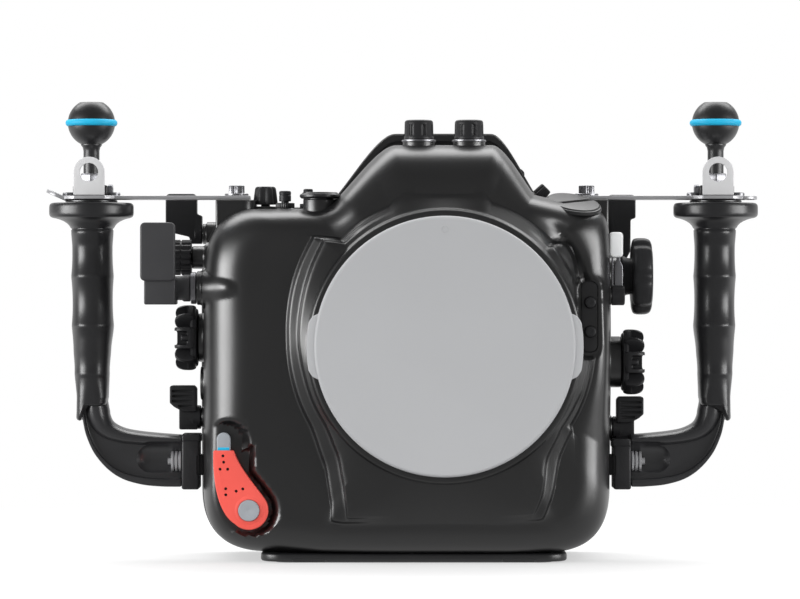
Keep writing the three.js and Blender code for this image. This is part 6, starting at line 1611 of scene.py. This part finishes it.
def buildBall(side):
    b, tag = ballMount, sideName[side]
    x, y, mid = side * handle["axis"], handle["y"], b["centre"]
    r, groove, neck = b["radius"], b["groove"], b["neck"]
    half = b["foot"]
    foot = block((x - half, x + half), (y - half, y + half), (b["footLow"], b["footTop"]), edge=0.9)
    profile = [(0, 199), (6.4, 199), (6.4, 201.4), (neck, 202), (neck, 219.5), (4.7, 221.4), (5.6, 222.6)]
    grooved = False
    first, last = -1.11, math.asin((b["top"] - mid) / r)
    for i in range(41):
        a = first + (last - first) * i / 40
        h = r * math.sin(a)
        if abs(h) > groove:
            profile.append((r * math.cos(a), mid + h))
        elif not grooved:
            grooved = True
            edge, floorOf = math.sqrt(r * r - groove * groove), b["grooveRadius"]
            profile += [(edge, mid - groove), (floorOf, mid - groove + 0.2), (floorOf, mid + groove - 0.2),
                        (edge, mid + groove)]
    profile += [(b["socket"] + 0.4, b["top"]), (b["socket"], b["top"] - 0.3), (b["socket"], b["top"] - 2),
                (0, b["top"] - 2)]
    body = turned("z", profile, at=(x, y, 0), sides=112)
    fuse(body, foot)
    finishPiece(body, "ballMount" + tag, look["anodisedFine"], "ball_mount_" + tag.lower(), angle=32)
    seal = ring("z", b["seal"], b["sealSection"], at=(x, y, mid), sides=112, facets=20, squash=1.1)
    finishPiece(seal, "ballSeal" + tag, look["cyan"], "ball_oring_" + tag.lower(), angle=60)
    nut = plate("z", arc((x, y), b["nut"], 30, 330, 5), 202.6, 207.4, edge=0.5)
    carve(nut, bar("z", neck - 0.1, 200, 210, at=(x, y, 0), sides=48))
    finishFitting(nut, "ballNut" + tag, angle=30)
    head = [(0, 8), (1.9, 8), (1.9, 9), (3.1, 9.2), (3.1, 11.2), (2.7, 11.6), (1.4, 11.6), (1.3, 10.6),
            (0, 10.6)]
    pin = turned("x", [(r, x - side * out) for r, out in head], at=(0, y, b["pinZ"]), sides=40)
    finishFitting(pin, "ballPin" + tag, angle=30)


for side in (-1, 1):
    buildStrip(side)
    buildStripScrew(side)
    buildBall(side)
print("strips and ball mounts")


# ---- back: window, eyepiece, buttons, dial, joystick; profiles hold radius and y
window = {"pane": (96, 70, 6.7), "paneFront": 54.3, "maskOuter": (88, 62, 5), "maskInner": (78, 53, 2),
          "maskY": (50.6, 53.9), "screwsX": (-32, 68), "screwsZ": (54.5, 92, 129.5)}
eyepiece = {
    "tube": [(16.3, 58.6), (22, 58.6), (22, 62), (21.2, 63), (20.6, 66), (20.6, 74), (21.6, 76), (24.2, 79),
             (24.5, 80), (24.5, 83.6), (23.9, 84.3), (22.6, 84.3), (19.5, 78), (17.2, 75.6), (16.3, 75.3),
             (16.3, 58.6)], "grooves": (67.4, 70, 72.6),
    "lens": [(0, 67.3), (14, 67.3), (15.6, 68), (15.7, 74), (15.2, 75), (8, 75.25), (0, 75.3)],
}
rearDial = {
    "front": 60.6, "back": 66.6, "teeth": 24, "tooth": 0.7, "shaft": 3, "shaftEnd": 51.3,
    "dish": [(0, 65), (10.4, 65), (12.6, 66.2), (13, 68), (0, 68)],
    "centre": [(0, 64), (6, 64), (6.2, 65.6), (5.8, 66.2), (5, 66.5), (0, 66.3)],
}
joystick = [(0, 52.8), (2, 52.8), (2, 61), (5, 61.1), (5.4, 61.6), (5.3, 62.4), (3.2, 63.6), (2.6, 65),
            (2.9, 66.4), (4.6, 67.2), (5.2, 67.9), (5.1, 68.7), (4.4, 69.1), (2.4, 68.6), (0, 68.4)]
finderLever = {
    "front": 60.6, "back": 64.8, "half": 5.3, "low": 8, "top": 25.4, "ribs": (13, 15.6, 18.2, 20.8),
    "hub": [(0, 51.3), (3, 51.3), (3, 60.7), (5, 60.7), (5, 65.2), (4.6, 65.6), (0, 65.6)],
}


def buildWindow():
    w = window
    pane = plate("y", roundedOutline(*w["pane"], windowAt, 10), w["paneFront"], shell["rearBack"], edge=0.5)
    finishPiece(pane, "screenWindow", look["pane"], "screen_window", angle=30)
    mask = carve(plate("y", roundedOutline(*w["maskOuter"], windowAt, 8), *w["maskY"], edge=0.3),
                 plate("y", roundedOutline(*w["maskInner"], windowAt, 4), 45, 60))
    finishPiece(mask, "windowMask", look["blackSeal"], body="housing")


def buildEyepiece():
    tube = turned("y", eyepiece["tube"], at=eyepieceAt, sides=112)
    grooves = [turned("y", [(19.9, y), (22, y - 0.2), (22, y + 1), (19.9, y + 0.8), (19.9, y)], at=eyepieceAt,
                      sides=96) for y in eyepiece["grooves"]]
    carve(tube, gather(*grooves))
    finishPiece(tube, "eyepieceTube", look["anodisedFine"], "eyepiece_tube", angle=30)
    glass = turned("y", eyepiece["lens"], at=eyepieceAt, sides=96)
    finishPiece(glass, "eyepieceLens", look["pane"], "eyepiece_lens", angle=30)


def buildRearButton(which):
    node = "rear_button_" + which.lower()
    x, z, radius = rearPlaces[node]
    button = turned("y", [(0, 52.8), (2, 52.8), (2, 60.6), (radius - 0.3, 60.6), (radius, 60.9), (radius, 64.2),
                          (radius - 0.3, 64.8), (radius - 1, 65.1), (radius * 0.6, 64.9), (0, 64.7)],
                    at=(x, 0, z), sides=56)
    finishPiece(button, "rearButton" + which, look["nylon"], node, angle=30)


def buildRearDial():
    d = rearDial
    x, z, radius = rearPlaces["rear_dial"]
    body = plate("y", wavyOutline(radius, d["tooth"], d["teeth"], (x, z), 8, 0.6), d["front"], d["back"],
                 edge=0.7)
    carve(body, turned("y", d["dish"], at=(x, 0, z), sides=80))
    centre = turned("y", d["centre"], at=(x, 0, z), sides=56)
    fuse(body, centre, bar("y", d["shaft"], d["shaftEnd"], d["front"] + 0.9, at=(x, 0, z), sides=24))
    finishPiece(body, "rearDial", look["nylon"], "rear_dial", angle=35)


def buildFinderLever():
    f = finderLever
    x, z, radius = rearPlaces["viewfinder_lever"]
    half, low, top = f["half"], f["low"], f["top"]
    line = arc((x, z), radius, 205, 335, 12)
    line += [(x + half, z + low), (x + half, z + top - 2), (x + half - 2, z + top), (x - half + 2, z + top),
             (x - half, z + top - 2), (x - half, z + low)]
    body = plate("y", line, f["front"], f["back"], edge=0.8, segments=3)
    fuse(body, turned("y", f["hub"], at=(x, 0, z), sides=48))
    carve(body, gather(*[block((x - 3.6, x + 3.6), (f["back"] - 0.6, f["back"] + 1.2), (z + v, z + v + 1),
                               edge=0.2, segments=2) for v in f["ribs"]]))
    finishPiece(body, "viewfinderLever", look["nylon"], "viewfinder_lever", angle=35)


buildWindow()
buildEyepiece()
for which in ("Focus", "Select", "Menu"):
    buildRearButton(which)
buildRearDial()
x, z, radius = rearPlaces["rear_joystick"]
finishPiece(turned("y", joystick, at=(x, 0, z), sides=64), "rearJoystick", look["nylon"], "rear_joystick",
            angle=30)
buildFinderLever()
# Six screws hold the window's seat
back = shell["rearBack"]
head = [(0, back + 1.2), (2.1, back + 1.2), (2.1, back + 1.9), (1.8, back + 2.1), (1, back + 2.1),
        (0.9, back + 1.5), (0, back + 1.5)]
heads = [turned("y", head, at=(x, 0, z), sides=32) for x in window["screwsX"] for z in window["screwsZ"]]
finishFitting(gather(*heads), "windowScrews", angle=30)
print("back")

# The CAD pieces that stay get their own finishes
for node, finish in (("camera_tray", "anodisedFine"), ("vacuum_board", "board"), ("focus_gear", "padGrey"),
                     ("port_ring", "steelTurned"), ("main_oring", "blackSeal"), ("cap_oring", "blackSeal")):
    kept = bpy.data.objects[node]
    kept.material_slots[0].link = "OBJECT"
    kept.material_slots[0].material = look[finish]

size = {"cad": [list(cadLow), list(cadHigh)], "visual": [list(v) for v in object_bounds()]}
